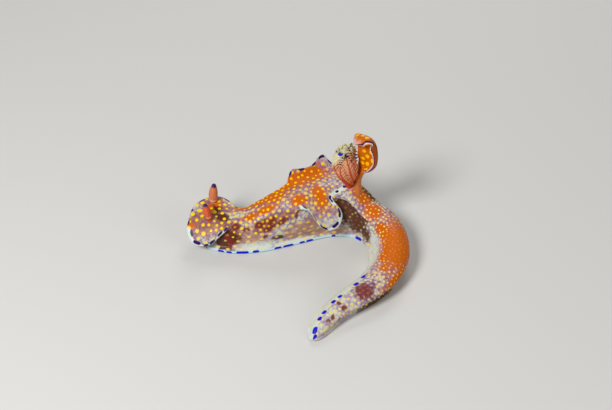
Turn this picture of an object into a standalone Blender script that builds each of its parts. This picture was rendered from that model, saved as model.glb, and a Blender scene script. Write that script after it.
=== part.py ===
"""Ceratosoma tenue, a crawling sea slug, life size and parted into its named pieces.

The body is one skin: a profile with a mantle rim and a foot rim, carried round the head and along
a bent route to the tip of the tail. It is closed, given its sockets, and parted with thin cuts.
"""

import math

import bmesh
import bpy
import numpy as np
from mathutils import Matrix

# Units: every size below is in millimetres, and METRES turns it into Blender's own unit
METRES = 0.001
GAP = 0.3
SLIVER_SIZES = (0.001, 0.002, 0.004)

# Where the body lies: the head axis stands between the two rhinophores, the tail curls round
HEAD_AXIS = (-21.5, 1.6)
ROUTE = (
    HEAD_AXIS,
    (-15.0, 0.9),
    (-8.0, 2.3),
    (-1.0, 4.6),
    (5.0, 6.4),
    (10.5, 6.4),
    (15.2, 4.2),
    (18.2, 0.4),
    (19.3, -4.8),
    (18.7, -10.2),
    (16.2, -15.2),
    (12.2, -19.4),
    (7.9, -23.4),
    (4.2, -28.0),
    (1.4, -33.4),
)

# Stations run round the front of the head, from -HEAD_ARC to 0, then in mm along the route
HEAD_ARC = 11.0

# Sizes along the stations: a station, then the size there
RIDGE_HEIGHT = ((-11, 7.5), (0, 7.5), (3, 7.4), (6.5, 7.8), (11, 9.8), (16, 11.6), (20.8, 12.6),
                (27, 13.0), (30.5, 12.9), (33.4, 12.3), (35.2, 11.2), (38, 8.8), (43, 7.7), (50, 7.0),
                (56, 6.3),
                (62, 5.6), (68, 4.9), (74, 4.1), (79, 3.2), (84, 2.4))
RIDGE_LEAN = ((-11, -0.9), (4, -0.9), (13, -0.2), (32, 0), (38, -0.4), (45, -0.9), (54, -1.3),
              (62, -1.3), (72, -0.9), (80, -0.4), (84, 0))
BACK_WIDTH = ((-11, 3.2), (0, 3.4), (4, 3.0), (6.5, 2.9), (13.6, 3.5), (20.8, 4.1), (27, 4.5),
              (32.6, 3.8), (37.9, 2.8), (45, 2.6), (54, 2.5), (66, 2.3), (74, 1.7), (80, 1.2),
              (84, 0.9))
BACK_DROP = ((-11, 0.5), (0, 0.5), (6.5, 0.8), (27, 0.9), (32.6, 1.2), (37.9, 1.8), (45, 1.9),
             (54, 1.6), (66, 1.3), (80, 0.8), (84, 0.5))
FLANK_WIDTH = ((-11, 4.0), (-5, 3.9), (0, 3.7), (6.5, 3.8), (13.6, 4.3), (20.8, 4.7), (27, 4.8),
               (32.6, 4.7), (37.9, 4.4), (48, 4.1), (60, 4.0), (66, 3.7), (72, 3.0), (78, 2.2),
               (84, 1.3))
FOOT_WIDTH = ((-11, 0.9), (-5, 2.1), (0, 3.3), (5, 3.9), (20.8, 3.8), (32.6, 3.7), (48, 3.4),
              (60, 3.4), (66, 3.2), (72, 2.6), (78, 1.9), (84, 1.1))
HEAD_ROLL = ((-11, 8), (0, 8), (4, 5), (9, 0), (84, 0))

# Sizes that differ between the two sides: the foot's rim, and how the shoulder draws in by the gills
FOOT_RIM = {
    1: ((-11, 1.2), (0, 1.2), (20, 0.9), (32, 0.8), (48, 1.0), (66, 1.2), (80, 1.0), (84, 0.8)),
    -1: ((-11, 1.2), (0, 1.2), (20, 0.9), (32, 0.8), (42, 0.5), (70, 0.5), (80, 0.7), (84, 0.8)),
}
BACK_SHARE = {
    1: ((-11, 1), (25.2, 1), (27.6, 0.74), (29.4, 0.55), (31.6, 0.50), (33.4, 0.62), (35.6, 0.86),
        (38, 1), (84, 1)),
    -1: ((-11, 1), (84, 1)),
}

# The mantle rim on each side: its reach from the back's shoulder and its slope, up positive
RIM_REACH = {
    1: ((-11, 3.0), (-8.5, 3.6), (-6.4, 4.9), (-4.2, 5.9), (-1.2, 5.2), (0.4, 4.2), (2, 2.4), (3.8, 0.9),
        (6, 0.5), (14, 0.4), (17.5, 0.5), (19.2, 1.0), (20.0, 1.6), (20.8, 3.3), (21.8, 5.8), (22.8, 7.2),
        (23.8, 7.8), (24.8, 7.6), (25.5, 6.9), (26.0, 6.1), (26.5, 4.9), (27.0, 3.7), (27.4, 2.6), (27.8, 1.6),
        (28.6, 1.2), (31, 0.8), (34, 0.6), (38, 0.3), (44, 0.0), (84, 0.0)),
    -1: ((-11, 3.0), (-8.5, 2.9), (-4.2, 2.5), (0, 2.2), (2, 1.6), (4, 0.9), (6, 0.6), (16, 0.8),
         (19, 1.0), (20.2, 2.8), (21.2, 3.4), (23, 2.9), (24.6, 2.8), (26, 3.4), (27, 5.0),
         (27.8, 5.5), (28.6, 4.0), (30, 2.2), (31.6, 1.2), (34, 0.7), (38, 0.3), (44, 0.0),
         (84, 0.0)),
}
RIM_SLOPE = {
    1: ((-11, -10), (-8.5, -18), (-4.2, -44), (-1.2, -52), (2, -48), (5, -20), (14, -12),
        (18, -30), (21, -54), (24, -66), (31, -66), (35, -40), (40, -25), (84, -20)),
    -1: ((-11, -10), (-8.5, -8), (-4.2, -4), (0, -2), (5, 0), (14, 5), (19, 26), (21, 32),
         (24, 24), (27.5, 28), (30, 16), (32, 0), (40, -20), (84, -20)),
}
RIM_SWEEP = {
    1: ((-11, 0), (18.6, 0), (20, 0.9), (21.8, 1.2), (22.8, 1.6), (24.8, 2.4), (26.0, 3.2), (26.5, 3.3),
        (27.0, 2.8), (27.4, 1.9), (27.8, 0.7), (28.3, -0.1), (29, 0), (84, 0)),
    -1: ((-11, 0), (84, 0)),
}
RIM_THICKNESS = 1.05
RIM_FADE = 1.4
FOOT_HEIGHT = 1.35
TAIL_ROUNDING = 3.5
TIP_HEIGHT = 0.4

# Sides: +1 is the animal's left, on the inside of the curl, and -1 its right
SIDES = {"left": 1, "right": -1}

# How close the stations and the points round the profile are set
STATION_STEP_HEAD = 1.1
STATION_STEPS = ((0, 1.2), (6, 1.6), (17, 1.3), (19, 0.8), (30, 0.8), (33, 1.4), (44, 2.2), (84, 2.2))
SAMPLES_PER_SPAN = 2

# Rhinophores: clubs on slim stalks, each from its foot to its tip
RHINOPHORES = {
    "rhinophore_left": ((-22.7, 0.5, 5.9), (-22.9, 0.5, 7.2), (-23.3, 0.4, 9.5), (-23.8, 0.2, 12.0)),
    "rhinophore_right": ((-22.2, 5.8, 6.2), (-22.2, 5.9, 7.3), (-22.1, 6.2, 9.9), (-21.8, 6.4, 13.0)),
}
RHINOPHORE_SIZES = (0.66, 0.66, 0.68, 0.74, 0.98, 1.04, 0.99, 0.86, 0.64, 0.34)
RHINOPHORE_SHARE = {"rhinophore_left": 0.92, "rhinophore_right": 1.06}
CLUB_SHARES = (0.36, 0.92)
LAMELLA_COUNT = 7
LAMELLA_DEPTH = 0.24

# Feelers at the sides of the mouth
FEELERS = {
    "oral_tentacle_left": ((-23.0, -0.1, 3.0), (-24.4, -0.7, 2.4), (-25.6, -1.2, 1.7)),
    "oral_tentacle_right": ((-23.0, 3.4, 3.1), (-24.4, 4.2, 2.6), (-25.7, 5.1, 2.0)),
}
FEELER_SIZES = (0.75, 0.70, 0.60, 0.30)
FEELER_FLATNESS = 0.8

# Mouth: a short snout with a slit between its lips
MOUTH_PATH = ((-23.6, 1.6, 3.6), (-25.4, 1.6, 3.4), (-26.2, 1.6, 3.3))
MOUTH_SIZES = (1.15, 1.25, 0.85)
MOUTH_OVAL = (1.15, 0.95)
MOUTH_SLIT = (0.55, 0.22)
MOUTH_DEPTH = 0.8

# Horn behind the gills, cupped over them, from its root to its tip
HORN_PATH = ((12.2, 6.4, 9.6), (12.2, 6.4, 12.0), (12.3, 6.4, 14.8), (13.3, 6.5, 17.4),
             (14.5, 6.6, 19.2), (15.0, 6.8, 21.2), (14.9, 7.1, 23.4), (14.2, 7.3, 25.2),
             (12.7, 7.1, 25.8), (11.3, 6.5, 24.8))

# Sizes of the horn, each at a share of its way from root to tip
HORN_HALF_WIDTH = ((0, 1.25), (0.34, 1.25), (0.42, 1.6), (0.49, 2.3), (0.58, 2.7), (0.68, 2.7),
                   (0.80, 2.6), (0.90, 2.3), (1, 1.1))
HORN_HALF_THICK = ((0, 0.9), (0.40, 0.85), (0.60, 0.95), (0.85, 1.1), (0.93, 1.0), (1, 0.55))
HORN_CUP = ((0, 0), (0.32, 0.1), (0.45, 0.8), (0.65, 1.1), (0.85, 0.7), (1, 0.1))
HORN_TURN = ((0, 5), (0.3, 12), (0.45, 42), (0.6, 56), (1, 56))

# Gills: a tuft of plumes on one foot, in an arc that is open towards the horn
GILL_CENTRE = (10.1, 6.4)
GILL_FOOT = (0.85, 1.0)
GILL_FOOT_LEVELS = (10.2, 13.6)
PLUME_COUNT = 8
PLUME_TURNS = (66, 318)
PLUME_HEIGHT = 10.4
PLUME_NEAR_LESS = 1.2
PLUME_ODD_MORE = 0.4
PLUME_SUNK = 0.6
PLUME_BULGE = ((0.06, 0.0), (0.64, 0.26), (0.96, 0.54), (1.0, 0.80), (0.84, 1.0))
TUFT_REACH = {"front": 3.75, "horn": 1.8, "beside": 2.5, "near": 3.1, "far": 3.2}
RIB_SIZES = (0.48, 0.28)
LEAFLET_PAIRS = 7
LEAFLET_SHARES = (0.38, 0.97)
LEAFLET_NOTCH = 0.85
LEAFLET_REACH = 0.65
LEAFLET_FOLD = 0.9
LEAFLET_LIFT = 0.45
LEAFLET_EDGE = 0.18

# Cuts across the body, each a station along the route, and the level of the cut over the foot
CUTS_ACROSS = (5.0, 36.0, 49.0, 61.5, 73.0)
SOLE_CUT = 1.75
SMALLEST_PIECE = 1.0
TAIL_TIP_PIECE_HEIGHT = 4.9

# Blades: how far past the piece they reach, and how they follow and leave the mantle rim
BLADE_OVERLAP = 2.0
BLADE_ACROSS = (15.0, 30.0)
RIM_CUT = 1.15
RIM_CUT_STEEP = 1.4
RIM_BLADE_OVER = 1.1
RIM_BLADE_STEP = 0.8
RIM_RAMP = 1.6
RIM_RAMP_CLEAR = 0.9
HOOD_BLADE = (6.0, 4.0, 5.9)

# Lengths of the mantle rim that are parted off: side, first and last station, clear of the rim
RIM_CUTS = (
    (1, -HEAD_ARC - 0.8, 4.6, False, True),
    (-1, -HEAD_ARC - 0.8, 4.2, False, True),
    (1, 19.0, 32.2, False, False),
    (-1, 18.2, 23.6, True, True),
    (-1, 24.2, 31.4, True, True),
)

# Where the middle of each piece of the body lies: a station, a distance to its left, a height
BODY_PIECES = {
    "head": (-1.0, -0.3, 4.8),
    "trunk": (21.0, 0.0, 6.5),
    "tail_base": (42.5, 0.5, 5.0),
    "tail_middle": (55.2, 0.5, 4.3),
    "tail_end": (67.0, 0.5, 3.6),
    "tail_tip": (78.0, 0.0, 1.8),
    "foot_front": (0.0, 0.0, 0.9),
    "foot_trunk": (20.5, 0.0, 0.9),
    "foot_tail_base": (42.5, 0.0, 0.9),
    "foot_tail_middle": (55.2, 0.0, 0.9),
    "foot_tail_end": (67.0, 0.0, 0.9),
    "hood_left": (-3.0, 3.5, 5.0),
    "hood_right": (-3.0, -5.5, 7.0),
    "rear_lobe_left": (27.0, 6.5, 7.0),
    "middle_lobe_right": (21.0, -6.5, 13.0),
    "rear_lobe_right": (27.5, -7.5, 13.0),
}

# Colours of the plain materials, by a word in the node's name
COLOURS = {
    "foot": (0.80, 0.79, 0.88),
    "hood": (0.72, 0.55, 0.50),
    "lobe": (0.74, 0.68, 0.78),
    "rhinophore": (0.72, 0.20, 0.06),
    "tentacle": (0.72, 0.50, 0.46),
    "mouth": (0.70, 0.50, 0.50),
    "gills": (0.80, 0.38, 0.20),
    "horn": (0.74, 0.28, 0.04),
    "tail": (0.66, 0.34, 0.20),
    "trunk": (0.66, 0.48, 0.48),
    "head": (0.66, 0.46, 0.42),
}

# How far the finished animal is moved, so that the middle of its box stands over the origin
PLACE = (1.9, 9.0)


def spline(knots, values, at):
    """Natural cubic spline through the knots, for the smooth route on the floor."""
    knots, values = np.asarray(knots, float), np.asarray(values, float)
    step = np.diff(knots)
    count = len(knots)
    system, right = np.eye(count), np.zeros(values.shape)
    slope = np.diff(values, axis=0) / step[:, None]
    for i in range(1, count - 1):
        system[i, i - 1 : i + 2] = step[i - 1], 2 * (step[i - 1] + step[i]), step[i]
        right[i] = 6 * (slope[i] - slope[i - 1])
    bend = np.linalg.solve(system, right)
    j = np.clip(np.searchsorted(knots, at, side="right") - 1, 0, count - 2)
    h, x = step[j][:, None], (np.asarray(at) - knots[j])[:, None]
    first = slope[j] - h * (2 * bend[j] + bend[j + 1]) / 6
    return values[j] + x * (first + x * (bend[j] / 2 + x * (bend[j + 1] - bend[j]) / (6 * h)))


def eased(table, at):
    """A size read along its table, by cubic steps that never overshoot the sizes given."""
    knots, values = np.array(table, float).T
    step = np.diff(knots)
    slope = np.diff(values) / step
    tangent = np.zeros(len(knots))
    same = slope[:-1] * slope[1:] > 0
    harmonic = 2 * slope[:-1] * slope[1:] / np.where(same, slope[:-1] + slope[1:], 1)
    tangent[1:-1] = np.where(same, harmonic, 0)
    at = np.clip(at, knots[0], knots[-1])
    j = np.clip(np.searchsorted(knots, at, side="right") - 1, 0, len(step) - 1)
    t = (at - knots[j]) / step[j]
    return (
        values[j] * (1 + 2 * t) * (1 - t) ** 2
        + values[j + 1] * t * t * (3 - 2 * t)
        + step[j] * tangent[j] * t * (1 - t) ** 2
        - step[j] * tangent[j + 1] * t * t * (1 - t)
    )


def route_table():
    """Points and headings along the route, with their distance from the head axis."""
    points = np.array(ROUTE)
    chord = np.concatenate([[0], np.cumsum(np.linalg.norm(np.diff(points, axis=0), axis=1))])
    fine = spline(chord, points, np.linspace(0, chord[-1], 1200))
    along = np.concatenate([[0], np.cumsum(np.linalg.norm(np.diff(fine, axis=0), axis=1))])
    heading = np.gradient(fine, along, axis=0)
    heading /= np.linalg.norm(heading, axis=1)[:, None]
    return along, fine, heading


ALONG, ROUTE_POINTS, ROUTE_HEADINGS = route_table()
TAIL_TIP = ALONG[-1]


def station_frames(stations, side):
    """Each station's foot point, and the ways outwards, along the body and to the left."""
    at = np.clip(stations, 0, TAIL_TIP)
    origin = np.column_stack([np.interp(at, ALONG, ROUTE_POINTS[:, i]) for i in (0, 1)])
    tail_way = np.column_stack([np.interp(at, ALONG, ROUTE_HEADINGS[:, i]) for i in (0, 1)])
    left = np.column_stack([tail_way[:, 1], -tail_way[:, 0]])
    turn = np.radians(90 * np.clip(stations / HEAD_ARC + 1, 0, 1))[:, None]
    outward = side * left * np.sin(turn) - tail_way * np.cos(turn)
    along = tail_way * np.sin(turn) + side * left * np.cos(turn)
    return origin, outward, along, left


def profile_controls(stations, side):
    """Control points of the half profile, from the mid back round the rims to the mid sole.

    Each has a distance outwards, a height, a shift to the tail, and a share of the ridge's lean.
    """
    read = lambda table: eased(table, stations)
    height, back = read(RIDGE_HEIGHT), read(BACK_WIDTH) * read(BACK_SHARE[side])
    flank, foot, foot_rim = read(FLANK_WIDTH), read(FOOT_WIDTH), read(FOOT_RIM[side])
    turned = np.sin(np.radians(90 * np.clip(stations / HEAD_ARC + 1, 0, 1)))
    roll = -side * np.tan(np.radians(read(HEAD_ROLL))) * turned
    shoulder = height - read(BACK_DROP)
    reach, sweep = read(RIM_REACH[side]), read(RIM_SWEEP[side])
    slope = np.radians(read(RIM_SLOPE[side]))
    out, up = np.cos(slope), np.sin(slope)
    half = RIM_THICKNESS / 2
    foot_top = np.minimum(FOOT_HEIGHT, 0.42 * shoulder)
    rise = shoulder - foot_top

    def rim(share, above):
        """A point of the mantle rim, at a share of its reach and above or below its middle."""
        return (
            back + reach * share * out - above * half * up,
            shoulder + roll * back + reach * share * up + above * half * out,
            sweep * np.minimum(share, 1.0) ** 2,
            1.0,
        )

    root = shoulder + roll * back
    rows = [
        (0, height, 0, 1),
        (0.5 * back, height + roll * 0.5 * back, 0, 1),
        (0.98 * back, root + 0.4 * half, 0, 1),
        rim(0.55, 1),
        rim(0.97, 1),
        rim(1 + 0.25 / np.maximum(reach, 0.8), 0),
        rim(0.97, -1),
        rim(0.45, -1),
        (back - 0.2, root - RIM_THICKNESS - 0.35, 0, 0.9),
        (flank, foot_top + 0.45 * rise, 0, 0.6),
        (0.5 * (flank + foot) + 0.1, foot_top + 0.15 * rise, 0, 0.25),
        (foot, foot_top, 0, 0),
        (foot + foot_rim, 0.55 * foot_top, 0, 0),
        (foot + foot_rim + 0.1, 0, 0, 0),
        (0.8 * foot, 0, 0, 0),
        (0.4 * foot, 0, 0, 0),
        (0, 0, 0, 0),
    ]
    table = np.zeros((len(stations), len(rows), 4))
    for k, row in enumerate(rows):
        for axis, value in enumerate(row):
            table[:, k, axis] = value
    ease = np.clip(reach / RIM_FADE, 0, 1)[:, None]
    ease = ease * ease * (3 - 2 * ease)
    turn = np.radians(np.arange(10) * 10)
    middle = (foot_top + 0.45 * rise)[:, None]
    plain = (height[:, None] - middle) * np.cos(turn) + middle
    table[:, :10, 0] = flank[:, None] * np.sin(turn) * (1 - ease) + table[:, :10, 0] * ease
    table[:, :10, 1] = plain * (1 - ease) + table[:, :10, 1] * ease
    end = np.clip((stations - (TAIL_TIP - TAIL_ROUNDING)) / TAIL_ROUNDING, 0, 1)
    shrink = np.sqrt(np.clip(1 - end**2, 0, 1))[:, None]
    table[:, :, 0] *= shrink
    table[:, :, 1] = TIP_HEIGHT + (table[:, :, 1] - TIP_HEIGHT) * shrink
    table[:, :, 3] *= read(RIDGE_LEAN)[:, None] * shrink
    return table


def basis(count, at):
    """Clamped uniform cubic B-spline weights of each control point at each parameter."""
    knots = np.concatenate([[0] * 3, np.arange(count - 2), [count - 3] * 3]).astype(float)
    at = np.clip(np.asarray(at, float), 0, count - 3 - 1e-9)
    weights = [((at >= a) & (at < b)).astype(float) for a, b in zip(knots[:-1], knots[1:])]
    for degree in (1, 2, 3):
        raised = []
        for i in range(len(weights) - 1):
            before = knots[i + degree] - knots[i]
            after = knots[i + degree + 1] - knots[i + 1]
            rise = (at - knots[i]) / before if before else 0
            fall = (knots[i + degree + 1] - at) / after if after else 0
            raised.append(rise * weights[i] + fall * weights[i + 1])
        weights = raised
    return np.column_stack(weights)


def skin_points(stations, side, at):
    """The skin of one side on a grid of stations by profile parameters, in mm."""
    controls = profile_controls(stations, side)
    local = np.einsum("vk,skc->svc", basis(controls.shape[1], at), controls)
    origin, outward, along, left = station_frames(stations, side)
    flat = (
        origin[:, None, :]
        + outward[:, None, :] * local[:, :, :1]
        + along[:, None, :] * local[:, :, 2:3]
        + left[:, None, :] * local[:, :, 3:]
    )
    return np.concatenate([flat, local[:, :, 1:2]], axis=2)


def station_list():
    """Stations close together round the head, even along the body, and close at the tail's end."""
    head = np.linspace(-HEAD_ARC, 0, round(HEAD_ARC / STATION_STEP_HEAD) + 1)
    start = TAIL_TIP - TAIL_ROUNDING
    fine = np.linspace(0, start, 800)
    places = np.concatenate([[0], np.cumsum(np.diff(fine) / eased(STATION_STEPS, fine[1:]))])
    body = np.interp(np.linspace(0, places[-1], round(places[-1]) + 1), places, fine)
    end = start + TAIL_ROUNDING * np.sin(np.radians([25, 48, 66, 80, 90]))
    return np.concatenate([head, body[1:], end])


def new_object(mesh_builder, name, weld=True):
    """An object in the scene from a finished bmesh, with its faces turned outwards."""
    if weld:
        bmesh.ops.remove_doubles(mesh_builder, verts=mesh_builder.verts, dist=1e-7)
        bmesh.ops.dissolve_degenerate(mesh_builder, edges=mesh_builder.edges, dist=1e-7)
        bmesh.ops.recalc_face_normals(mesh_builder, faces=mesh_builder.faces)
    mesh = bpy.data.meshes.new(name)
    mesh_builder.to_mesh(mesh)
    mesh_builder.free()
    item = bpy.data.objects.new(name, mesh)
    bpy.context.scene.collection.objects.link(item)
    return item


def grid_faces(builder, rows, closed=False):
    """Faces between rows of vertices; closed rows join their last vertex to their first."""
    for near, far in zip(rows, rows[1:]):
        count = len(near) if closed else len(near) - 1
        for i in range(count):
            j = (i + 1) % len(near)
            builder.faces.new((near[i], far[i], far[j], near[j]))


def body_skin():
    """The whole body as one closed skin, both sides welded along the back and the sole."""
    stations = station_list()
    at = np.concatenate([np.linspace(0, 13, 13 * SAMPLES_PER_SPAN + 1), [14]])
    builder = bmesh.new()
    for side in SIDES.values():
        points = skin_points(stations, side, at) * METRES
        rows = [[builder.verts.new(p) for p in row] for row in points]
        grid_faces(builder, rows)
    return new_object(builder, "body")


def path_points(knots, share):
    """Points at shares of the way along a smooth curve through the knots."""
    knots = np.asarray(knots, float)
    step = np.linalg.norm(np.diff(knots, axis=0), axis=1)
    along = np.concatenate([[0], np.cumsum(step)])
    return spline(along, knots, np.asarray(share) * along[-1])


def read_sizes(sizes, share):
    """Sizes given at even steps along a path, read at any share of it."""
    sizes = np.asarray(sizes, float)
    return spline(np.linspace(0, 1, len(sizes)), sizes[:, None], share)[:, 0]


def headings(path):
    """Unit ways along a path at each of its points."""
    way = np.gradient(path, axis=0)
    return way / np.linalg.norm(way, axis=1)[:, None]


def rod_rings(path, across_sizes, over_sizes, across, around, cup=0.0):
    """Oval rings round a path; across gives the wide way, and cup bends both rims over."""
    way = headings(path)
    across = np.broadcast_to(np.asarray(across, float), path.shape)
    across = across - way * np.sum(across * way, axis=1)[:, None]
    across = across / np.linalg.norm(across, axis=1)[:, None]
    over = np.cross(way, across)
    turn = np.linspace(0, 2 * math.pi, around, endpoint=False)
    wide = np.asarray(across_sizes, float)[:, None] * np.cos(turn)
    thick = np.asarray(over_sizes, float)[:, None] * np.sin(turn)
    thick = thick + np.reshape(cup, (-1, 1)) * np.cos(turn) ** 2
    return (
        path[:, None, :]
        + across[:, None, :] * wide[:, :, None]
        + over[:, None, :] * thick[:, :, None]
    )


def closed_tube(name, rings):
    """A closed solid from rings of points, capped at both ends, in triangles for clean unions."""
    builder = bmesh.new()
    rows = [[builder.verts.new(p * METRES) for p in ring] for ring in rings]
    grid_faces(builder, rows, closed=True)
    builder.faces.new(rows[0])
    builder.faces.new(rows[-1])
    bmesh.ops.triangulate(builder, faces=builder.faces)
    return new_object(builder, name)


def boolean(target, cutters, operation, solver="EXACT"):
    """Applies a Boolean of the cutters to the target, and removes them."""
    group = bpy.data.collections.new("operands")
    for cutter in cutters:
        group.objects.link(cutter)
    change = target.modifiers.new("change", "BOOLEAN")
    change.operation = operation
    change.operand_type = "COLLECTION"
    change.collection = group
    change.solver = solver
    graph = bpy.context.evaluated_depsgraph_get()
    result = bpy.data.meshes.new_from_object(target.evaluated_get(graph))
    target.modifiers.clear()
    target.data = result
    for cutter in cutters:
        bpy.data.objects.remove(cutter, do_unlink=True)
    bpy.data.collections.remove(group)
    return target


def loose_pieces(item):
    """The separate closed surfaces of an object, as lists of its faces' numbers."""
    builder = bmesh.new()
    builder.from_mesh(item.data)
    builder.faces.ensure_lookup_table()
    seen, pieces = set(), []
    for face in builder.faces:
        if face.index in seen:
            continue
        stack, piece = [face], []
        seen.add(face.index)
        while stack:
            here = stack.pop()
            piece.append(here.index)
            for edge in here.edges:
                if len(edge.link_faces) != 2:
                    continue
                for other in edge.link_faces:
                    if other.index not in seen:
                        seen.add(other.index)
                        stack.append(other)
        pieces.append(piece)
    builder.free()
    return pieces


def piece_object(item, faces, name):
    """A new object holding only the given faces of another."""
    builder = bmesh.new()
    builder.from_mesh(item.data)
    builder.faces.ensure_lookup_table()
    keep = set(faces)
    bmesh.ops.delete(builder, geom=[f for f in builder.faces if f.index not in keep], context="FACES")
    return new_object(builder, name, weld=False)


def largest_piece(item):
    """Keeps only the largest closed surface of an object."""
    pieces = [piece_object(item, faces, item.name) for faces in loose_pieces(item)]
    bpy.data.objects.remove(item, do_unlink=True)
    pieces.sort(key=inside_volume)
    for piece in pieces[:-1]:
        bpy.data.objects.remove(piece, do_unlink=True)
    return pieces[-1]


def smooth_slivers(item):
    """Welds the tiny edges that thin cuts leave, so that each edge has its two faces."""
    builder = bmesh.new()
    builder.from_mesh(item.data)
    bmesh.ops.triangulate(builder, faces=builder.faces)
    for reach in SLIVER_SIZES:
        bmesh.ops.remove_doubles(builder, verts=builder.verts, dist=reach * METRES)
        bmesh.ops.dissolve_degenerate(builder, edges=builder.edges, dist=reach * METRES)
    builder.to_mesh(item.data)
    builder.free()


def inside_volume(item):
    """The volume of a closed object, in cubic mm."""
    builder = bmesh.new()
    builder.from_mesh(item.data)
    volume = builder.calc_volume(signed=False) / METRES**3
    builder.free()
    return volume


def root_solid(name, rings, swell, sink):
    """The lower part of an appendage made thicker all round, to cut its socket."""
    middle = rings.mean(axis=1, keepdims=True)
    ray = rings - middle
    size = np.linalg.norm(ray, axis=2, keepdims=True)
    wider = middle + ray * (size + swell) / size
    way = headings(middle[:, 0, :])
    wider[0] -= way[0] * sink
    return closed_tube(name, wider)


def rhinophore_rings(knots, size):
    """Rings of one rhinophore: a smooth stalk, a club with leaves all round, and its tip."""
    low, high = CLUB_SHARES
    club = np.linspace(low, high, 2 * LAMELLA_COUNT + 1)
    share = np.concatenate([np.linspace(0, low, 6)[:-1], club, [0.97, 1.0]])
    groove = np.zeros(len(share))
    groove[5 : 5 + len(club) : 2] = 1
    sizes = size * read_sizes(RHINOPHORE_SIZES, share) * (1 - LAMELLA_DEPTH * groove)
    return rod_rings(path_points(knots, share), sizes, sizes, (0, 1, 0), 12)


def feeler_rings(knots):
    """Rings of one oral tentacle."""
    share = np.linspace(0, 1, 7)
    sizes = read_sizes(FEELER_SIZES, share)
    flat = sizes * FEELER_FLATNESS
    return rod_rings(path_points(knots, share), sizes, flat, (0.5, -0.86, 0), 10)


def mouth_rings():
    """Rings of the snout, from its root to its rounded lips and back into the slit between them."""
    share = np.linspace(0, 1, 6)
    path, sizes = path_points(MOUTH_PATH, share), read_sizes(MOUTH_SIZES, share)
    broad, deep = MOUTH_OVAL
    outside = rod_rings(path, sizes * broad, sizes * deep, (0, 1, 0), 14)
    back = path[-1] - path[-2]
    back = -back / np.linalg.norm(back)
    slit = path[-1] + np.outer((0.1, MOUTH_DEPTH), back)
    wide, high = MOUTH_SLIT
    ends = np.array([1.0, 0.6])
    inside = rod_rings(slit, wide * ends, high * ends, (0, 1, 0), 14)
    return np.concatenate([outside, inside[:, np.r_[0, 13:0:-1]]])


def horn_rings():
    """Rings of the horn, with both its rims cupped towards the gills."""
    share = np.linspace(0, 1, 22)
    turn = np.radians(eased(HORN_TURN, share))
    across = np.column_stack([-np.sin(turn), np.cos(turn), 0 * turn])
    wide, thick = eased(HORN_HALF_WIDTH, share), eased(HORN_HALF_THICK, share)
    return rod_rings(path_points(HORN_PATH, share), wide, thick, across, 18, eased(HORN_CUP, share))


def plume_knots(number):
    """The path of one gill plume: out from the foot of the tuft, up, and in again at its tip."""
    turn = math.radians(np.interp(number, (0, PLUME_COUNT - 1), PLUME_TURNS))
    out = np.array([math.cos(turn), math.sin(turn), 0.0])
    reach_x = TUFT_REACH["front"] if out[0] < 0 else TUFT_REACH["horn" if out[1] > 0 else "beside"]
    reach_y = TUFT_REACH["far"] if out[1] > 0 else TUFT_REACH["near"]
    height = PLUME_HEIGHT - PLUME_NEAR_LESS * max(0.0, -out[1]) + PLUME_ODD_MORE * (number % 2)
    foot = np.array([*GILL_CENTRE, GILL_FOOT_LEVELS[1] - PLUME_SUNK])
    return out, [
        foot + np.array([out[0] * reach_x * aside, out[1] * reach_y * aside, height * up])
        for aside, up in PLUME_BULGE
    ]


def plume_solid(number):
    """One plume of the gills: a rib on its outer side, and leaflets in pairs folded inwards.

    Rings across the leaflets' tips and across the notches between them take turns.
    """
    out, knots = plume_knots(number)
    low, high = LEAFLET_SHARES
    steps = np.arange(2 * LEAFLET_PAIRS + 1)
    share = np.concatenate([[0, low / 2], low + (high - low) * steps / steps[-1], [1.0]])
    full = np.concatenate([[0, 0], steps % 2, [0]])
    fade = np.sin(math.pi * np.interp(share, (low, 0.55, high), (0.16, 0.55, 0.84)))
    rib = np.interp(share, (0, 1), RIB_SIZES)
    reach = rib * LEAFLET_NOTCH + full * LEAFLET_REACH * fade
    fold = full * LEAFLET_FOLD * fade
    lift = full * LEAFLET_LIFT * fade
    edge = np.full(len(share), LEAFLET_EDGE)
    across = np.array([-out[1], out[0], 0])
    path = path_points(knots, share)
    way = headings(path)
    inward = np.cross(way, across)
    corners = (
        (0 * rib, -rib, 0 * rib),
        (reach, fold - edge, lift),
        (reach, fold + edge, lift),
        (0 * rib, rib, 0 * rib),
        (-reach, fold + edge, lift),
        (-reach, fold - edge, lift),
    )
    rings = [
        path + across * aside[:, None] + inward * inner[:, None] + way * up[:, None]
        for aside, inner, up in corners
    ]
    return closed_tube("plume", np.stack(rings, axis=1))


def gill_foot_rings():
    """Rings of the foot that all the plumes grow from."""
    low, high = GILL_FOOT_LEVELS
    path = np.array([(*GILL_CENTRE, z) for z in (low, low + 0.8, high - 0.5, high)], float)
    size = np.array([1.0, 1.0, 1.0, 0.86])
    return rod_rings(path, GILL_FOOT[0] * size, GILL_FOOT[1] * size, (1, 0, 0), 18)


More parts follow.
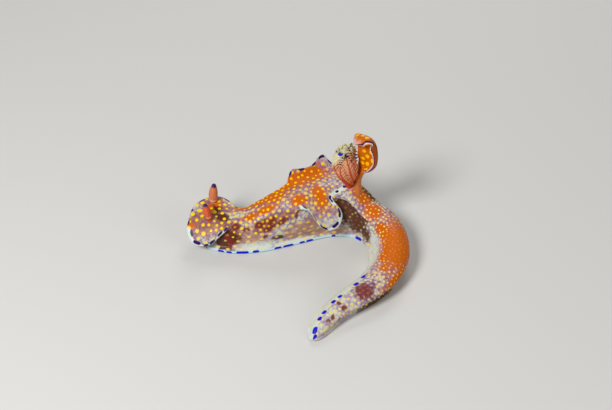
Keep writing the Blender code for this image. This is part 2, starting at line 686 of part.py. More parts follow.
def rim_knife(side, first, last, clear_first, clear_last):
    """A thin blade that follows a length of the mantle rim, and leaves it at either end."""
    stations = np.linspace(first, last, round((last - first) / RIM_BLADE_STEP) + 1)
    back = eased(BACK_WIDTH, stations) * eased(BACK_SHARE[side], stations)
    height = eased(RIDGE_HEIGHT, stations)
    turned = np.sin(np.radians(90 * np.clip(stations / HEAD_ARC + 1, 0, 1)))
    roll = -side * np.tan(np.radians(eased(HEAD_ROLL, stations))) * turned
    root = height - eased(BACK_DROP, stations) + roll * back
    slope = np.radians(eased(RIM_SLOPE[side], stations))
    reach = eased(RIM_REACH[side], stations)
    offset = RIM_CUT * (1 + RIM_CUT_STEEP * np.abs(np.sin(slope)))
    if clear_first:
        offset += np.clip(1 - (stations - first) / RIM_RAMP, 0, 1) * (reach + RIM_RAMP_CLEAR)
    if clear_last:
        offset += np.clip(1 - (last - stations) / RIM_RAMP, 0, 1) * (reach + RIM_RAMP_CLEAR)
    lean = eased(RIDGE_LEAN, stations)
    origin, outward, _, left = station_frames(stations, side)
    rings = []
    over = RIM_THICKNESS / 2 + RIM_BLADE_OVER
    under = -over + GAP / 2
    for near, up in ((-GAP / 2, under), (GAP / 2, under), (GAP / 2, over), (-GAP / 2, over)):
        out = back + (offset + near) * np.cos(slope) - up * np.sin(slope)
        high = root + (offset + near) * np.sin(slope) + up * np.cos(slope)
        flat = origin + outward * out[:, None] + left * lean[:, None]
        rings.append(np.column_stack([flat, high]))
    return closed_tube("blade", np.stack(rings, axis=1))


def level_knife(item):
    """A thin level blade through a whole length of the body, just above its foot."""
    low, high = corners_of(item)
    middle, size = (low + high) / 2, high - low + BLADE_OVERLAP
    return block((*middle[:2], SOLE_CUT + GAP / 2), (*size[:2], GAP), (1, 0))


def block(middle, size, way):
    """A box round a middle, with its first side along a way on the floor."""
    builder = bmesh.new()
    bmesh.ops.create_cube(builder, size=1.0)
    way = np.array(way, float)
    for vert in builder.verts:
        x, y, z = np.array(vert.co) * np.array(size)
        flat = np.array(middle[:2]) + way * x + np.array([-way[1], way[0]]) * y
        vert.co = (flat[0] * METRES, flat[1] * METRES, (middle[2] + z) * METRES)
    return new_object(builder, "blade")


def knife_across(station):
    """A thin upright blade across the route at a station."""
    origin, _, along, _ = station_frames(np.array([float(station)]), 1)
    wide, high = BLADE_ACROSS
    return block((*origin[0], high / 3), (GAP, wide, high), along[0])


def hood_middle_knife():
    """A thin upright blade along the front of the hood, that parts its left from its right."""
    origin, outward, _, _ = station_frames(np.array([-HEAD_ARC]), 1)
    back = eased(BACK_WIDTH, np.array([-HEAD_ARC]))[0]
    length, high, level = HOOD_BLADE
    middle = origin[0] + outward[0] * (back + RIM_CUT + (length - GAP) / 2)
    return block((*middle, level), (length, GAP, high), outward[0])


def corners_of(item):
    """The lowest and highest corner of an object's box, in mm."""
    points = np.array([v.co for v in item.data.vertices]) / METRES
    return points.min(axis=0), points.max(axis=0)


def copy_of(item):
    """A second object with its own copy of the mesh."""
    twin = bpy.data.objects.new(item.name, item.data.copy())
    bpy.context.scene.collection.objects.link(twin)
    return twin


def cut(item, blade):
    """Cuts an object with a thin blade and gives its separate pieces, without their crumbs."""
    boolean(item, [blade], "DIFFERENCE", solver="MANIFOLD")
    pieces = [piece_object(item, faces, "piece") for faces in loose_pieces(item)]
    bpy.data.objects.remove(item, do_unlink=True)
    kept = [piece for piece in pieces if inside_volume(piece) > SMALLEST_PIECE]
    for piece in pieces:
        if piece not in kept:
            bpy.data.objects.remove(piece, do_unlink=True)
    return kept


def cut_touching(pieces, blade):
    """Cuts only the pieces whose boxes the blade's box meets."""
    low, high = corners_of(blade)
    result = []
    for piece in pieces:
        near, far = corners_of(piece)
        if np.all(near < high) and np.all(far > low):
            result += cut(piece, copy_of(blade))
        else:
            result.append(piece)
    bpy.data.objects.remove(blade, do_unlink=True)
    return result


def appendages():
    """The nodes that grow from the body, and the solids that cut their sockets in it."""
    finished, sockets = {}, []
    for name, knots in RHINOPHORES.items():
        rings = rhinophore_rings(knots, RHINOPHORE_SHARE[name])
        finished[name] = closed_tube(name, rings)
        sockets.append(root_solid("socket", rings[:7], GAP, GAP))
    for name, knots in FEELERS.items():
        rings = feeler_rings(knots)
        finished[name] = closed_tube(name, rings)
        sockets.append(root_solid("socket", rings[:5], GAP, GAP))
    rings = mouth_rings()
    finished["mouth"] = closed_tube("mouth", rings)
    sockets.append(root_solid("socket", rings[:4], GAP, GAP))
    rings = horn_rings()
    finished["horn"] = closed_tube("horn", rings)
    sockets.append(root_solid("socket", rings[:6], GAP, GAP))
    rings = gill_foot_rings()
    foot = closed_tube("gills", rings)
    plumes = [plume_solid(number) for number in range(PLUME_COUNT)]
    gills = boolean(foot, plumes, "UNION", solver="MANIFOLD")
    finished["gills"] = largest_piece(gills)
    sockets.append(root_solid("socket", rings, GAP, GAP))
    return finished, sockets


def body_pieces(sockets):
    """The body with its sockets, parted into its lengths, its foot and its mantle lobes."""
    body = body_skin()
    for socket in sockets:
        boolean(body, [socket], "DIFFERENCE", solver="MANIFOLD")
    lengths = [body]
    for station in CUTS_ACROSS:
        lengths = cut_touching(lengths, knife_across(station))
    pieces = []
    for item in lengths:
        low, high = corners_of(item)
        pieces += cut(item, level_knife(item)) if high[2] > TAIL_TIP_PIECE_HEIGHT else [item]
    for settings in RIM_CUTS:
        pieces = cut_touching(pieces, rim_knife(*settings))
    return cut_touching(pieces, hood_middle_knife())


def name_of(piece):
    """The name of the body piece whose anchor lies nearest to the middle of this one."""
    builder = bmesh.new()
    builder.from_mesh(piece.data)
    sizes = np.array([face.calc_area() for face in builder.faces])
    middles = np.array([face.calc_center_median() for face in builder.faces]) / METRES
    builder.free()
    middle = (middles * sizes[:, None]).sum(axis=0) / sizes.sum()
    distances = {}
    for name, (station, aside, height) in BODY_PIECES.items():
        origin, _, _, left = station_frames(np.array([float(station)]), 1)
        anchor = np.array([*(origin[0] + left[0] * aside), height])
        distances[name] = np.linalg.norm(anchor - middle)
    return min(distances, key=distances.get)


def paint(item, name):
    """One plain material for a node, smooth shading on its rounded faces."""
    kind = next(kind for kind in COLOURS if kind in name)
    material = bpy.data.materials.new(name)
    material.use_nodes = True
    surface = material.node_tree.nodes["Principled BSDF"]
    surface.inputs["Base Color"].default_value = (*COLOURS[kind], 1.0)
    surface.inputs["Roughness"].default_value = 0.35
    item.data.materials.clear()
    item.data.materials.append(material)
    item.data.polygons.foreach_set("use_smooth", [True] * len(item.data.polygons))
    item.data.set_sharp_from_angle(angle=math.radians(40))


def main():
    """Builds every piece and leaves only the finished nodes in the scene."""
    for item in list(bpy.data.objects):
        bpy.data.objects.remove(item, do_unlink=True)
    finished, sockets = appendages()
    for piece in body_pieces(sockets):
        finished[name_of(piece)] = piece
    group = bpy.data.collections.new("ceratosoma_tenue")
    bpy.context.scene.collection.children.link(group)
    shift = np.array([*PLACE, 0.0]) * METRES
    for name, item in sorted(finished.items()):
        item.name = name
        item.data.name = name
        bpy.context.scene.collection.objects.unlink(item)
        group.objects.link(item)
        smooth_slivers(item)
        item.data.transform(Matrix.Translation(shift))
        paint(item, name)
        low, high = corners_of(item)
        print(name, round(inside_volume(item), 1), low.round(1), high.round(1))


main()
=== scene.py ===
# %% [markdown]
# A ceratosoma tenue is a sea slug of shallow reefs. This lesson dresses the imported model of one, still and
# life size, as a museum would show it: crawling, with its tail curled round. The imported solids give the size
# and the place of everything, so each piece below is worked out in the same frame, in millimetres.

import math

import bpy
import numpy as np
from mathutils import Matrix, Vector


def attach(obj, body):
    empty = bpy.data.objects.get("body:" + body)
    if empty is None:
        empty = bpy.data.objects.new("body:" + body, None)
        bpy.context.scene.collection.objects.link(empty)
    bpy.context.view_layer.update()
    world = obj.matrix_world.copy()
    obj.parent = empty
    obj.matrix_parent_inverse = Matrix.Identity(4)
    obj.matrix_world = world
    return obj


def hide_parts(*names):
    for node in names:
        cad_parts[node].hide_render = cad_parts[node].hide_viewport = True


METRES = 0.001
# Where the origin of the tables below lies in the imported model's frame
PLACE = np.array([1.9, 9.0, 0.0])
RANDOM = np.random.default_rng(7)

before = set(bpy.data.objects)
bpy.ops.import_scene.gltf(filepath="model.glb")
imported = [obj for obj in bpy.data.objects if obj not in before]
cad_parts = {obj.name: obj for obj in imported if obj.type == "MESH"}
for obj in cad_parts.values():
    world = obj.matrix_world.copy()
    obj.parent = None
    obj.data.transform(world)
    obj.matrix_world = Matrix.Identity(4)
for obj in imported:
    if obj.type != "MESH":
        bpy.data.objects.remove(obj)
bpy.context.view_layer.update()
print("packed nodes:", len(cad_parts))

# %% [markdown]
# The camera stands where the picture was taken from: in front of the animal's left side, and looking down on
# it by forty degrees. A long lens from far off keeps the near parts from looking too large. Three large soft
# lamps and an even pale sky light the animal like a light tent.

# %% Camera and lamps
AIM = (1.9, 16.0, 6.0)
CAMERA_DISTANCE = 408.0
CAMERA_ANGLE = 40.0
CAMERA_LENS = 100.0
# Each lamp has a place, a width and its watts
LAMPS = {
    "key": ((-190, -210, 300), 150, 1.35),
    "fill": ((260, -160, 170), 220, 0.2),
    "rim": ((60, 300, 240), 160, 0.4),
}
LAMP_AIM = (0, 0, 5)
SKY_LIGHT = {"Color": (1.0, 0.98, 0.94, 1.0), "Strength": 0.2}


def look_at(item, place, aim):
    """Puts a camera or lamp at a place, in millimetres, and turns it to an aim."""
    item.location = Vector(place) * METRES
    item.rotation_euler = (Vector(aim) - Vector(place)).to_track_quat("-Z", "Y").to_euler()
    bpy.context.scene.collection.objects.link(item)


tilt = math.radians(CAMERA_ANGLE)
camera = bpy.data.objects.new("camera", bpy.data.cameras.new("camera"))
camera.data.lens = CAMERA_LENS
camera.data.clip_start = 0.01
back = (0, -CAMERA_DISTANCE * math.cos(tilt), CAMERA_DISTANCE * math.sin(tilt))
look_at(camera, [a + b for a, b in zip(AIM, back)], AIM)
bpy.context.scene.camera = camera

for name, (place, size, watts) in LAMPS.items():
    lamp = bpy.data.lights.new(name, "AREA")
    lamp.shape = "DISK"
    lamp.size = size * METRES
    lamp.energy = watts
    look_at(bpy.data.objects.new(name, lamp), place, LAMP_AIM)

sky = bpy.data.worlds.new("sky")
sky.use_nodes = True
for name, value in SKY_LIGHT.items():
    sky.node_tree.nodes["Background"].inputs[name].default_value = value
bpy.context.scene.world = sky
bpy.context.scene.view_settings.view_transform = "Standard"
print("camera at", [round(v, 4) for v in camera.location])

# %% [markdown]
# Each finish below is a shader graph, and most of it is arithmetic on masks. Joining Math nodes by hand is
# slow to read, so a small class stands for a number in the graph and turns plus, minus and times into nodes.
# One method makes every other node. A finish is painted as on paper: a ground, and layer after layer over it.


# %% Masks as numbers, and one maker of nodes
def joined_by(operation, swapped=False):
    """A method that joins a mask and another number by one kind of Math node."""

    def method(self, other):
        """A new mask, worked out from this one and the other number."""
        first, second = (other, self) if swapped else (self, other)
        made = self.finish.node("ShaderNodeMath", {"operation": operation}, {0: first, 1: second})
        return Mask(self.finish, made.outputs[0])

    return method


class Mask:
    """A number that changes over the surface, which can be added, taken away and multiplied."""

    __add__ = __radd__ = joined_by("ADD")
    __sub__ = joined_by("SUBTRACT")
    __rsub__ = joined_by("SUBTRACT", swapped=True)
    __mul__ = __rmul__ = joined_by("MULTIPLY")
    most = joined_by("MAXIMUM")

    def __init__(self, finish, socket):
        self.finish = finish
        self.socket = socket

    def step(self, low, high):
        """Rises smoothly from 0 to 1 while the number goes from low to high."""
        span = {"Value": self, "From Min": low, "From Max": high}
        made = self.finish.node("ShaderNodeMapRange", {"interpolation_type": "SMOOTHSTEP"}, span)
        return Mask(self.finish, made.outputs[0])

    def frayed(self, noise, amount):
        """Shifts the number up and down by noise, so that an edge cut from it is ragged."""
        return self + (noise - 0.5) * amount


class Finish:
    """A material around one Principled shader; settings are the values that are the same all over."""

    def __init__(self, name, **settings):
        self.material = bpy.data.materials.new(name)
        self.material.use_nodes = True
        self.tree = self.material.node_tree
        self.shader = self.tree.nodes["Principled BSDF"]
        for words, value in settings.items():
            self.shader.inputs[words.replace("_", " ").title().replace("Ior", "IOR")].default_value = value
        self.place = self.node("ShaderNodeTexCoord").outputs["Object"]

    def node(self, kind, settings=None, inputs=None):
        """A node of one kind: its settings first, then the values or links of its sockets."""
        made = self.tree.nodes.new(kind)
        for name, value in (settings or {}).items():
            setattr(made, name, value)
        for name, value in (inputs or {}).items():
            self.feed(made.inputs[name], value)
        return made

    def feed(self, socket, value):
        """Links a mask or an output to a socket, or sets a plain value on it."""
        value = value.socket if isinstance(value, Mask) else value
        if isinstance(value, bpy.types.NodeSocket):
            self.tree.links.new(value, socket)
        else:
            socket.default_value = value

    def field(self, name):
        """A number kept at the piece's own vertices."""
        return Mask(self, self.node("ShaderNodeAttribute", {"attribute_name": name}).outputs["Fac"])

    def noise(self, size, detail=2.0):
        """Cloudy noise whose lumps are about size millimetres across, mostly from 0.3 to 0.7."""
        inputs = {"Vector": self.place, "Scale": 1 / (size * METRES), "Detail": detail}
        return Mask(self, self.node("ShaderNodeTexNoise", {}, inputs).outputs[0])

    def mix(self, share, first, second):
        """A colour between two others."""
        made = self.node("ShaderNodeMix", {"data_type": "RGBA"}, {0: share, 6: first, 7: second})
        return made.outputs[2]

    def ground(self, first):
        """The paint that lies below all layers."""
        self.paint = first

    def lay(self, share, layer):
        """One more layer of paint over what is there, as thick as its share."""
        self.paint = self.mix(share, self.paint, layer)

    def wear(self, roughness):
        """Hands the paint and a roughness to the shader."""
        self.feed(self.shader.inputs["Base Color"], self.paint)
        self.feed(self.shader.inputs["Roughness"], roughness)

    def bump(self, height, millimetres, strength=1.0):
        """Relief from a mask: where it is 1 the surface stands that many millimetres proud."""
        inputs = {"Height": height, "Distance": millimetres * METRES, "Strength": strength}
        self.feed(self.shader.inputs["Normal"], self.node("ShaderNodeBump", {}, inputs).outputs[0])


def colour(red, green, blue):
    """A colour as painters' charts give it, from 0 to 255, turned into the light it stands for."""
    part = np.array([red, green, blue]) / 255
    light = np.where(part <= 0.04045, part / 12.92, ((part + 0.055) / 1.055) ** 2.4)
    return (*light.tolist(), 1.0)

print("mid grey gives back", round(colour(128, 128, 128)[0], 3), "of the light")

# %% [markdown]
# The floor is one wide, pale sheet, plain so that nothing draws the eye from the animal, and matt so that it
# doesn't mirror the lamps.

# %% Floor
FLOOR_GREY = colour(214, 213, 210)
FLOOR_HALF = 3

floor_finish = Finish("floor_paper", base_color=FLOOR_GREY, roughness=0.9)
floor_mesh = bpy.data.meshes.new("floor")
corners = [(x * FLOOR_HALF, y * FLOOR_HALF, 0) for x, y in ((-1, -1), (1, -1), (1, 1), (-1, 1))]
floor_mesh.from_pydata(corners, [], [(0, 1, 2, 3)])
floor_mesh.materials.append(floor_finish.material)
floor = bpy.data.objects.new("floor", floor_mesh)
bpy.context.scene.collection.objects.link(floor)
print("floor laid,", 2 * FLOOR_HALF, "m wide")

# %% [markdown]
# The body is one soft skin from the hood over the mouth to the tip of the tail. It could be sculpted, but the
# animal keeps one plan all along: a rounded back, a mantle rim at its shoulder, a flank, and a foot with a
# rim of its own. So a profile of seventeen control points is carried along the route on which the animal
# lies, and swung round the front of the head. Tables give each size at a station, in millimetres along it.

# %% The route, and sizes read from tables
HEAD_AXIS = (-21.5, 1.6)
ROUTE = (
    HEAD_AXIS, (-15.0, 0.9), (-8.0, 2.3), (-1.0, 4.6), (5.0, 6.4), (10.5, 6.4), (15.2, 4.2), (18.2, 0.4),
    (19.3, -4.8), (18.7, -10.2), (16.2, -15.2), (12.2, -19.4), (7.9, -23.4), (4.2, -28.0), (1.4, -33.4),
)
ROUTE_STEPS = 1200


def lengths_along(points):
    """Distance gone along the first axis of a grid of points."""
    step = np.linalg.norm(np.diff(points, axis=0), axis=-1)
    return np.concatenate([np.zeros((1, *step.shape[1:])), np.cumsum(step, axis=0)])


def smooth(value, low, high):
    """Rises from 0 to 1 between low and high, level at both ends: three squares less two cubes."""
    t = np.clip((value - low) / (high - low), 0, 1)
    return t * t * (3 - 2 * t)


def spline(knots, values, at):
    """Natural cubic spline: between knots the bend changes evenly, and the slope is smooth across them."""
    knots, values = np.asarray(knots, float), np.asarray(values, float)
    step = np.diff(knots)
    count = len(knots)
    system, right = np.eye(count), np.zeros(values.shape)
    slope = np.diff(values, axis=0) / step[:, None]
    for i in range(1, count - 1):
        system[i, i - 1 : i + 2] = step[i - 1], 2 * (step[i - 1] + step[i]), step[i]
        right[i] = 6 * (slope[i] - slope[i - 1])
    bend = np.linalg.solve(system, right)
    j = np.clip(np.searchsorted(knots, at, side="right") - 1, 0, count - 2)
    h, x = step[j][:, None], (np.asarray(at) - knots[j])[:, None]
    first = slope[j] - h * (2 * bend[j] + bend[j + 1]) / 6
    return values[j] + x * (first + x * (bend[j] / 2 + x * (bend[j + 1] - bend[j]) / (6 * h)))


def eased(table, at):
    """A size read from its table, by cubic steps that never overshoot.

    The slope at a knot is the harmonic mean of the slopes on both sides, and level where these disagree.
    """
    knots, values = np.array(table, float).T
    step = np.diff(knots)
    slope = np.diff(values) / step
    tangent = np.zeros(len(knots))
    same = slope[:-1] * slope[1:] > 0
    harmonic = 2 * slope[:-1] * slope[1:] / np.where(same, slope[:-1] + slope[1:], 1)
    tangent[1:-1] = np.where(same, harmonic, 0)
    at = np.clip(at, knots[0], knots[-1])
    j = np.clip(np.searchsorted(knots, at, side="right") - 1, 0, len(step) - 1)
    t = (at - knots[j]) / step[j]
    return (
        values[j] * (1 + 2 * t) * (1 - t) ** 2
        + values[j + 1] * t * t * (3 - 2 * t)
        + step[j] * tangent[j] * t * (1 - t) ** 2
        - step[j] * tangent[j + 1] * t * t * (1 - t)
    )


def route_table():
    """Points and headings along the route, with their distance from the head axis."""
    points = np.array(ROUTE)
    chord = lengths_along(points)
    fine = spline(chord, points, np.linspace(0, chord[-1], ROUTE_STEPS))
    along = lengths_along(fine)
    heading = np.gradient(fine, along, axis=0)
    return along, fine, heading / np.linalg.norm(heading, axis=1)[:, None]


ALONG, ROUTE_POINTS, ROUTE_HEADINGS = route_table()
TAIL_TIP = ALONG[-1]
print("route", round(TAIL_TIP, 1), "mm long")

# %% [markdown]
# The tables below are the body's measures. The mantle rim has its own reach, slope and sweep on each side,
# left 1 and right -1, because a crawling slug holds its lobes differently: over the mouth they make the hood,
# and in front of the gills a large lobe hangs down on the animal's left while its right one stands up.

# %% Measures of the body
HEAD_ARC = 11.0
RIDGE_HEIGHT = ((-11, 7.5), (0, 7.5), (3, 7.4), (6.5, 7.8), (11, 9.8), (16, 11.6), (20.8, 12.6), (27, 13.0),
                (30.5, 12.9), (33.4, 12.3), (35.2, 11.2), (38, 8.8), (43, 7.7), (50, 7.0), (56, 6.3),
                (62, 5.6), (68, 4.9), (74, 4.1), (79, 3.2), (84, 2.4))
RIDGE_LEAN = ((-11, -0.9), (4, -0.9), (13, -0.2), (32, 0), (38, -0.4), (45, -0.9), (54, -1.3), (62, -1.3),
              (72, -0.9), (80, -0.4), (84, 0))
BACK_WIDTH = ((-11, 3.2), (0, 3.4), (4, 3.0), (6.5, 2.9), (13.6, 3.5), (20.8, 4.1), (27, 4.5), (32.6, 3.8),
              (37.9, 2.8), (45, 2.6), (54, 2.5), (66, 2.3), (74, 1.7), (80, 1.2), (84, 0.9))
BACK_DROP = ((-11, 0.5), (0, 0.5), (6.5, 0.8), (27, 0.9), (32.6, 1.2), (37.9, 1.8), (45, 1.9), (54, 1.6),
             (66, 1.3), (80, 0.8), (84, 0.5))
FLANK_WIDTH = ((-11, 4.0), (-5, 3.9), (0, 3.7), (6.5, 3.8), (13.6, 4.3), (20.8, 4.7), (27, 4.8), (32.6, 4.7),
               (37.9, 4.4), (48, 4.1), (60, 4.0), (66, 3.7), (72, 3.0), (78, 2.2), (84, 1.3))
FOOT_WIDTH = ((-11, 0.9), (-5, 2.1), (0, 3.3), (5, 3.9), (20.8, 3.8), (32.6, 3.7), (48, 3.4), (60, 3.4),
              (66, 3.2), (72, 2.6), (78, 1.9), (84, 1.1))
HEAD_ROLL = ((-11, 8), (0, 8), (4, 5), (9, 0), (84, 0))
FOOT_RIM = {
    1: ((-11, 1.2), (0, 1.2), (20, 0.9), (32, 0.8), (48, 1.0), (66, 1.2), (80, 1.0), (84, 0.8)),
    -1: ((-11, 1.2), (0, 1.2), (20, 0.9), (32, 0.8), (42, 0.5), (70, 0.5), (80, 0.7), (84, 0.8)),
}
BACK_SHARE = {
    1: ((-11, 1), (25.2, 1), (27.6, 0.74), (29.4, 0.55), (31.6, 0.50), (33.4, 0.62), (35.6, 0.86), (38, 1),
        (84, 1)),
    -1: ((-11, 1), (84, 1)),
}
RIM_REACH = {
    1: ((-11, 3.0), (-8.5, 3.6), (-6.4, 4.9), (-4.2, 5.9), (-1.2, 5.2), (0.4, 4.2), (2, 2.4), (3.8, 0.9),
        (6, 0.5), (14, 0.4), (17.5, 0.5), (19.2, 1.0), (20.0, 1.6), (20.8, 3.3), (21.8, 5.8), (22.8, 7.2),
        (23.8, 7.8), (24.8, 7.6), (25.5, 6.9), (26.0, 6.1), (26.5, 4.9), (27.0, 3.7), (27.4, 2.6),
        (27.8, 1.6), (28.6, 1.2), (31, 0.8), (34, 0.6), (38, 0.3), (44, 0.0), (84, 0.0)),
    -1: ((-11, 3.0), (-8.5, 2.9), (-4.2, 2.5), (0, 2.2), (2, 1.6), (4, 0.9), (6, 0.6), (16, 0.8), (19, 1.0),
         (20.2, 2.8), (21.2, 3.4), (23, 2.9), (24.6, 2.8), (26, 3.4), (27, 5.0), (27.8, 5.5), (28.6, 4.0),
         (30, 2.2), (31.6, 1.2), (34, 0.7), (38, 0.3), (44, 0.0), (84, 0.0)),
}
RIM_SLOPE = {
    1: ((-11, -10), (-8.5, -18), (-4.2, -44), (-1.2, -52), (2, -48), (5, -20), (14, -12), (18, -30),
        (21, -54), (24, -66), (31, -66), (35, -40), (40, -25), (84, -20)),
    -1: ((-11, -10), (-8.5, -8), (-4.2, -4), (0, -2), (5, 0), (14, 5), (19, 26), (21, 32), (24, 24),
         (27.5, 28), (30, 16), (32, 0), (40, -20), (84, -20)),
}
RIM_SWEEP = {
    1: ((-11, 0), (18.6, 0), (20, 0.9), (21.8, 1.2), (22.8, 1.6), (24.8, 2.4), (26.0, 3.2), (26.5, 3.3),
        (27.0, 2.8), (27.4, 1.9), (27.8, 0.7), (28.3, -0.1), (29, 0), (84, 0)),
    -1: ((-11, 0), (84, 0)),
}
RIM_THICKNESS = 1.05
RIM_FADE = 1.4
FOOT_HEIGHT = 1.35
# Levels on the way from the foot's upper edge to the shoulder
FOOT_TOP_SHARE = 0.42
FLANK_LEVEL = 0.45
ANKLE_LEVEL = 0.15
TAIL_ROUNDING = 3.5
TIP_HEIGHT = 0.4

print("back up to", max(height for _, height in RIDGE_HEIGHT), "mm high")

# %% [markdown]
# One side's profile runs from the mid back over the rim of the mantle, down the flank and round the foot to
# the mid sole. A B-spline of its control points is smooth everywhere. Where the rim fades out they slide onto
# a plain oval, so that each lobe grows out of the body without a crease.


# %% From measures to points of the skin
def on_route(table, at):
    """A point or a heading of the route at each station."""
    return np.column_stack([np.interp(at, ALONG, table[:, i]) for i in (0, 1)])


def head_turn(stations):
    """The angle from the front to the outward way, in radians: a right angle behind the head arc."""
    return np.radians(90 * np.clip(stations / HEAD_ARC + 1, 0, 1))


def station_frames(stations, side):
    """Each station's foot point, and the ways outwards, along the body and to the left.

    In front of the head the outward way swings from the side to the front, by a right angle in all.
    """
    at = np.clip(stations, 0, TAIL_TIP)
    tail_way = on_route(ROUTE_HEADINGS, at)
    left = np.column_stack([tail_way[:, 1], -tail_way[:, 0]])
    turn = head_turn(stations)[:, None]
    outward = side * left * np.sin(turn) - tail_way * np.cos(turn)
    along = tail_way * np.sin(turn) + side * left * np.cos(turn)
    return on_route(ROUTE_POINTS, at), outward, along, left


def profile_controls(stations, side):
    """Control points of the half profile, from the mid back round the rims to the mid sole.

    Each has a distance outwards, a height, a shift to the tail, and a share of the ridge's lean.
    """

    def read(table):
        """A size at each of the stations."""
        return eased(table, stations)

    height, back = read(RIDGE_HEIGHT), read(BACK_WIDTH) * read(BACK_SHARE[side])
    flank, foot, foot_rim = read(FLANK_WIDTH), read(FOOT_WIDTH), read(FOOT_RIM[side])
    roll = -side * np.tan(np.radians(read(HEAD_ROLL))) * np.sin(head_turn(stations))
    shoulder = height - read(BACK_DROP)
    reach, sweep = read(RIM_REACH[side]), read(RIM_SWEEP[side])
    slope = np.radians(read(RIM_SLOPE[side]))
    out, up = np.cos(slope), np.sin(slope)
    half = RIM_THICKNESS / 2
    foot_top = np.minimum(FOOT_HEIGHT, FOOT_TOP_SHARE * shoulder)
    rise = shoulder - foot_top
    mid_flank = foot_top + FLANK_LEVEL * rise

    def rim(share, above):
        """A point of the mantle rim, at a share of its reach and above or below its middle."""
        return (
            back + reach * share * out - above * half * up,
            shoulder + roll * back + reach * share * up + above * half * out,
            sweep * np.minimum(share, 1.0) ** 2,
            1.0,
        )

    root = shoulder + roll * back
    rows = [
        (0, height, 0, 1),
        (0.5 * back, height + roll * 0.5 * back, 0, 1),
        (0.98 * back, root + 0.4 * half, 0, 1),
        rim(0.55, 1),
        rim(0.97, 1),
        rim(1 + 0.25 / np.maximum(reach, 0.8), 0),
        rim(0.97, -1),
        rim(0.45, -1),
        (back - 0.2, root - RIM_THICKNESS - 0.35, 0, 0.9),
        (flank, mid_flank, 0, 0.6),
        (0.5 * (flank + foot) + 0.1, foot_top + ANKLE_LEVEL * rise, 0, 0.25),
        (foot, foot_top, 0, 0),
        (foot + foot_rim, 0.55 * foot_top, 0, 0),
        (foot + foot_rim + 0.1, 0, 0, 0),
        (0.8 * foot, 0, 0, 0),
        (0.4 * foot, 0, 0, 0),
        (0, 0, 0, 0),
    ]
    table = np.zeros((len(stations), len(rows), 4))
    for k, row in enumerate(rows):
        for axis, value in enumerate(row):
            table[:, k, axis] = value
    turn = np.radians(np.arange(10) * 10)
    plain = (height - mid_flank)[:, None] * np.cos(turn) + mid_flank[:, None]
    ease = smooth(reach, 0, RIM_FADE)[:, None]
    table[:, :10, 0] = flank[:, None] * np.sin(turn) * (1 - ease) + table[:, :10, 0] * ease
    table[:, :10, 1] = plain * (1 - ease) + table[:, :10, 1] * ease
    end = np.clip((stations - (TAIL_TIP - TAIL_ROUNDING)) / TAIL_ROUNDING, 0, 1)
    shrink = np.sqrt(np.clip(1 - end**2, 0, 1))[:, None]
    table[:, :, 0] *= shrink
    table[:, :, 1] = TIP_HEIGHT + (table[:, :, 1] - TIP_HEIGHT) * shrink
    table[:, :, 3] *= read(RIDGE_LEAN)[:, None] * shrink
    return table


def basis(count, at):
    """Weights of each control point at each parameter: a clamped, uniform cubic B-spline."""
    knots = np.concatenate([[0] * 3, np.arange(count - 2), [count - 3] * 3]).astype(float)
    at = np.clip(np.asarray(at, float), 0, count - 3 - 1e-9)
    weights = [((at >= a) & (at < b)).astype(float) for a, b in zip(knots[:-1], knots[1:])]
    for degree in (1, 2, 3):
        raised = []
        for i in range(len(weights) - 1):
            before = knots[i + degree] - knots[i]
            after = knots[i + degree + 1] - knots[i + 1]
            rise = (at - knots[i]) / before if before else 0
            fall = (knots[i + degree + 1] - at) / after if after else 0
            raised.append(rise * weights[i] + fall * weights[i + 1])
        weights = raised
    return np.column_stack(weights)


def skin_points(stations, side, at):
    """The skin of one side on a grid of stations by profile parameters, in mm."""
    controls = profile_controls(stations, side)
    local = np.einsum("vk,skc->svc", basis(controls.shape[1], at), controls)
    origin, outward, along, left = station_frames(stations, side)
    flat = (
        origin[:, None, :]
        + outward[:, None, :] * local[:, :, :1]
        + along[:, None, :] * local[:, :, 2:3]
        + left[:, None, :] * local[:, :, 3:]
    )
    return np.concatenate([flat, local[:, :, 1:2]], axis=2)


print("profile of", profile_controls(np.array([20.0]), 1).shape[1], "control points")

# %% [markdown]
# The markings will be kept at the skin's vertices, so these lie close together and evenly, about a quarter
# of a millimetre apart. Rows are spread by length over the skin, and more thinly under the lobes and on the
# sole. Each vertex remembers where it lies: its station, its side, and how far it is from the mid back, from
# the edge of the mantle and from the edge of the foot. Later cells paint with those distances.

# %% The skin as one strip of rows
STATION_STEPS = ((-11, 0.16), (0, 0.20), (34, 0.20), (40, 0.245), (84, 0.245))
ROW_COUNT = 110
ROW_WEIGHTS = ((0, 1.0), (4.4, 1.0), (5.2, 0.6), (7, 0.6), (8, 1.0), (12, 1.0), (12.6, 0.1), (14, 0.1))
MANTLE_EDGE = 4.0
FOOT_EDGE = 11.6
FINE_ROWS = 561
LAST_PARAMETER = 14


def station_list():
    """Stations with the steps of their table, drawing together at the rounded end of the tail."""
    start = TAIL_TIP - TAIL_ROUNDING
    fine = np.linspace(-HEAD_ARC, start, 2000)
    places = np.concatenate([[0], np.cumsum(np.diff(fine) / eased(STATION_STEPS, fine[1:]))])
    body = np.interp(np.linspace(0, places[-1], round(places[-1]) + 1), places, fine)
    return np.concatenate([body, start + TAIL_ROUNDING * np.sin(np.radians(np.linspace(4, 90, 20)))])


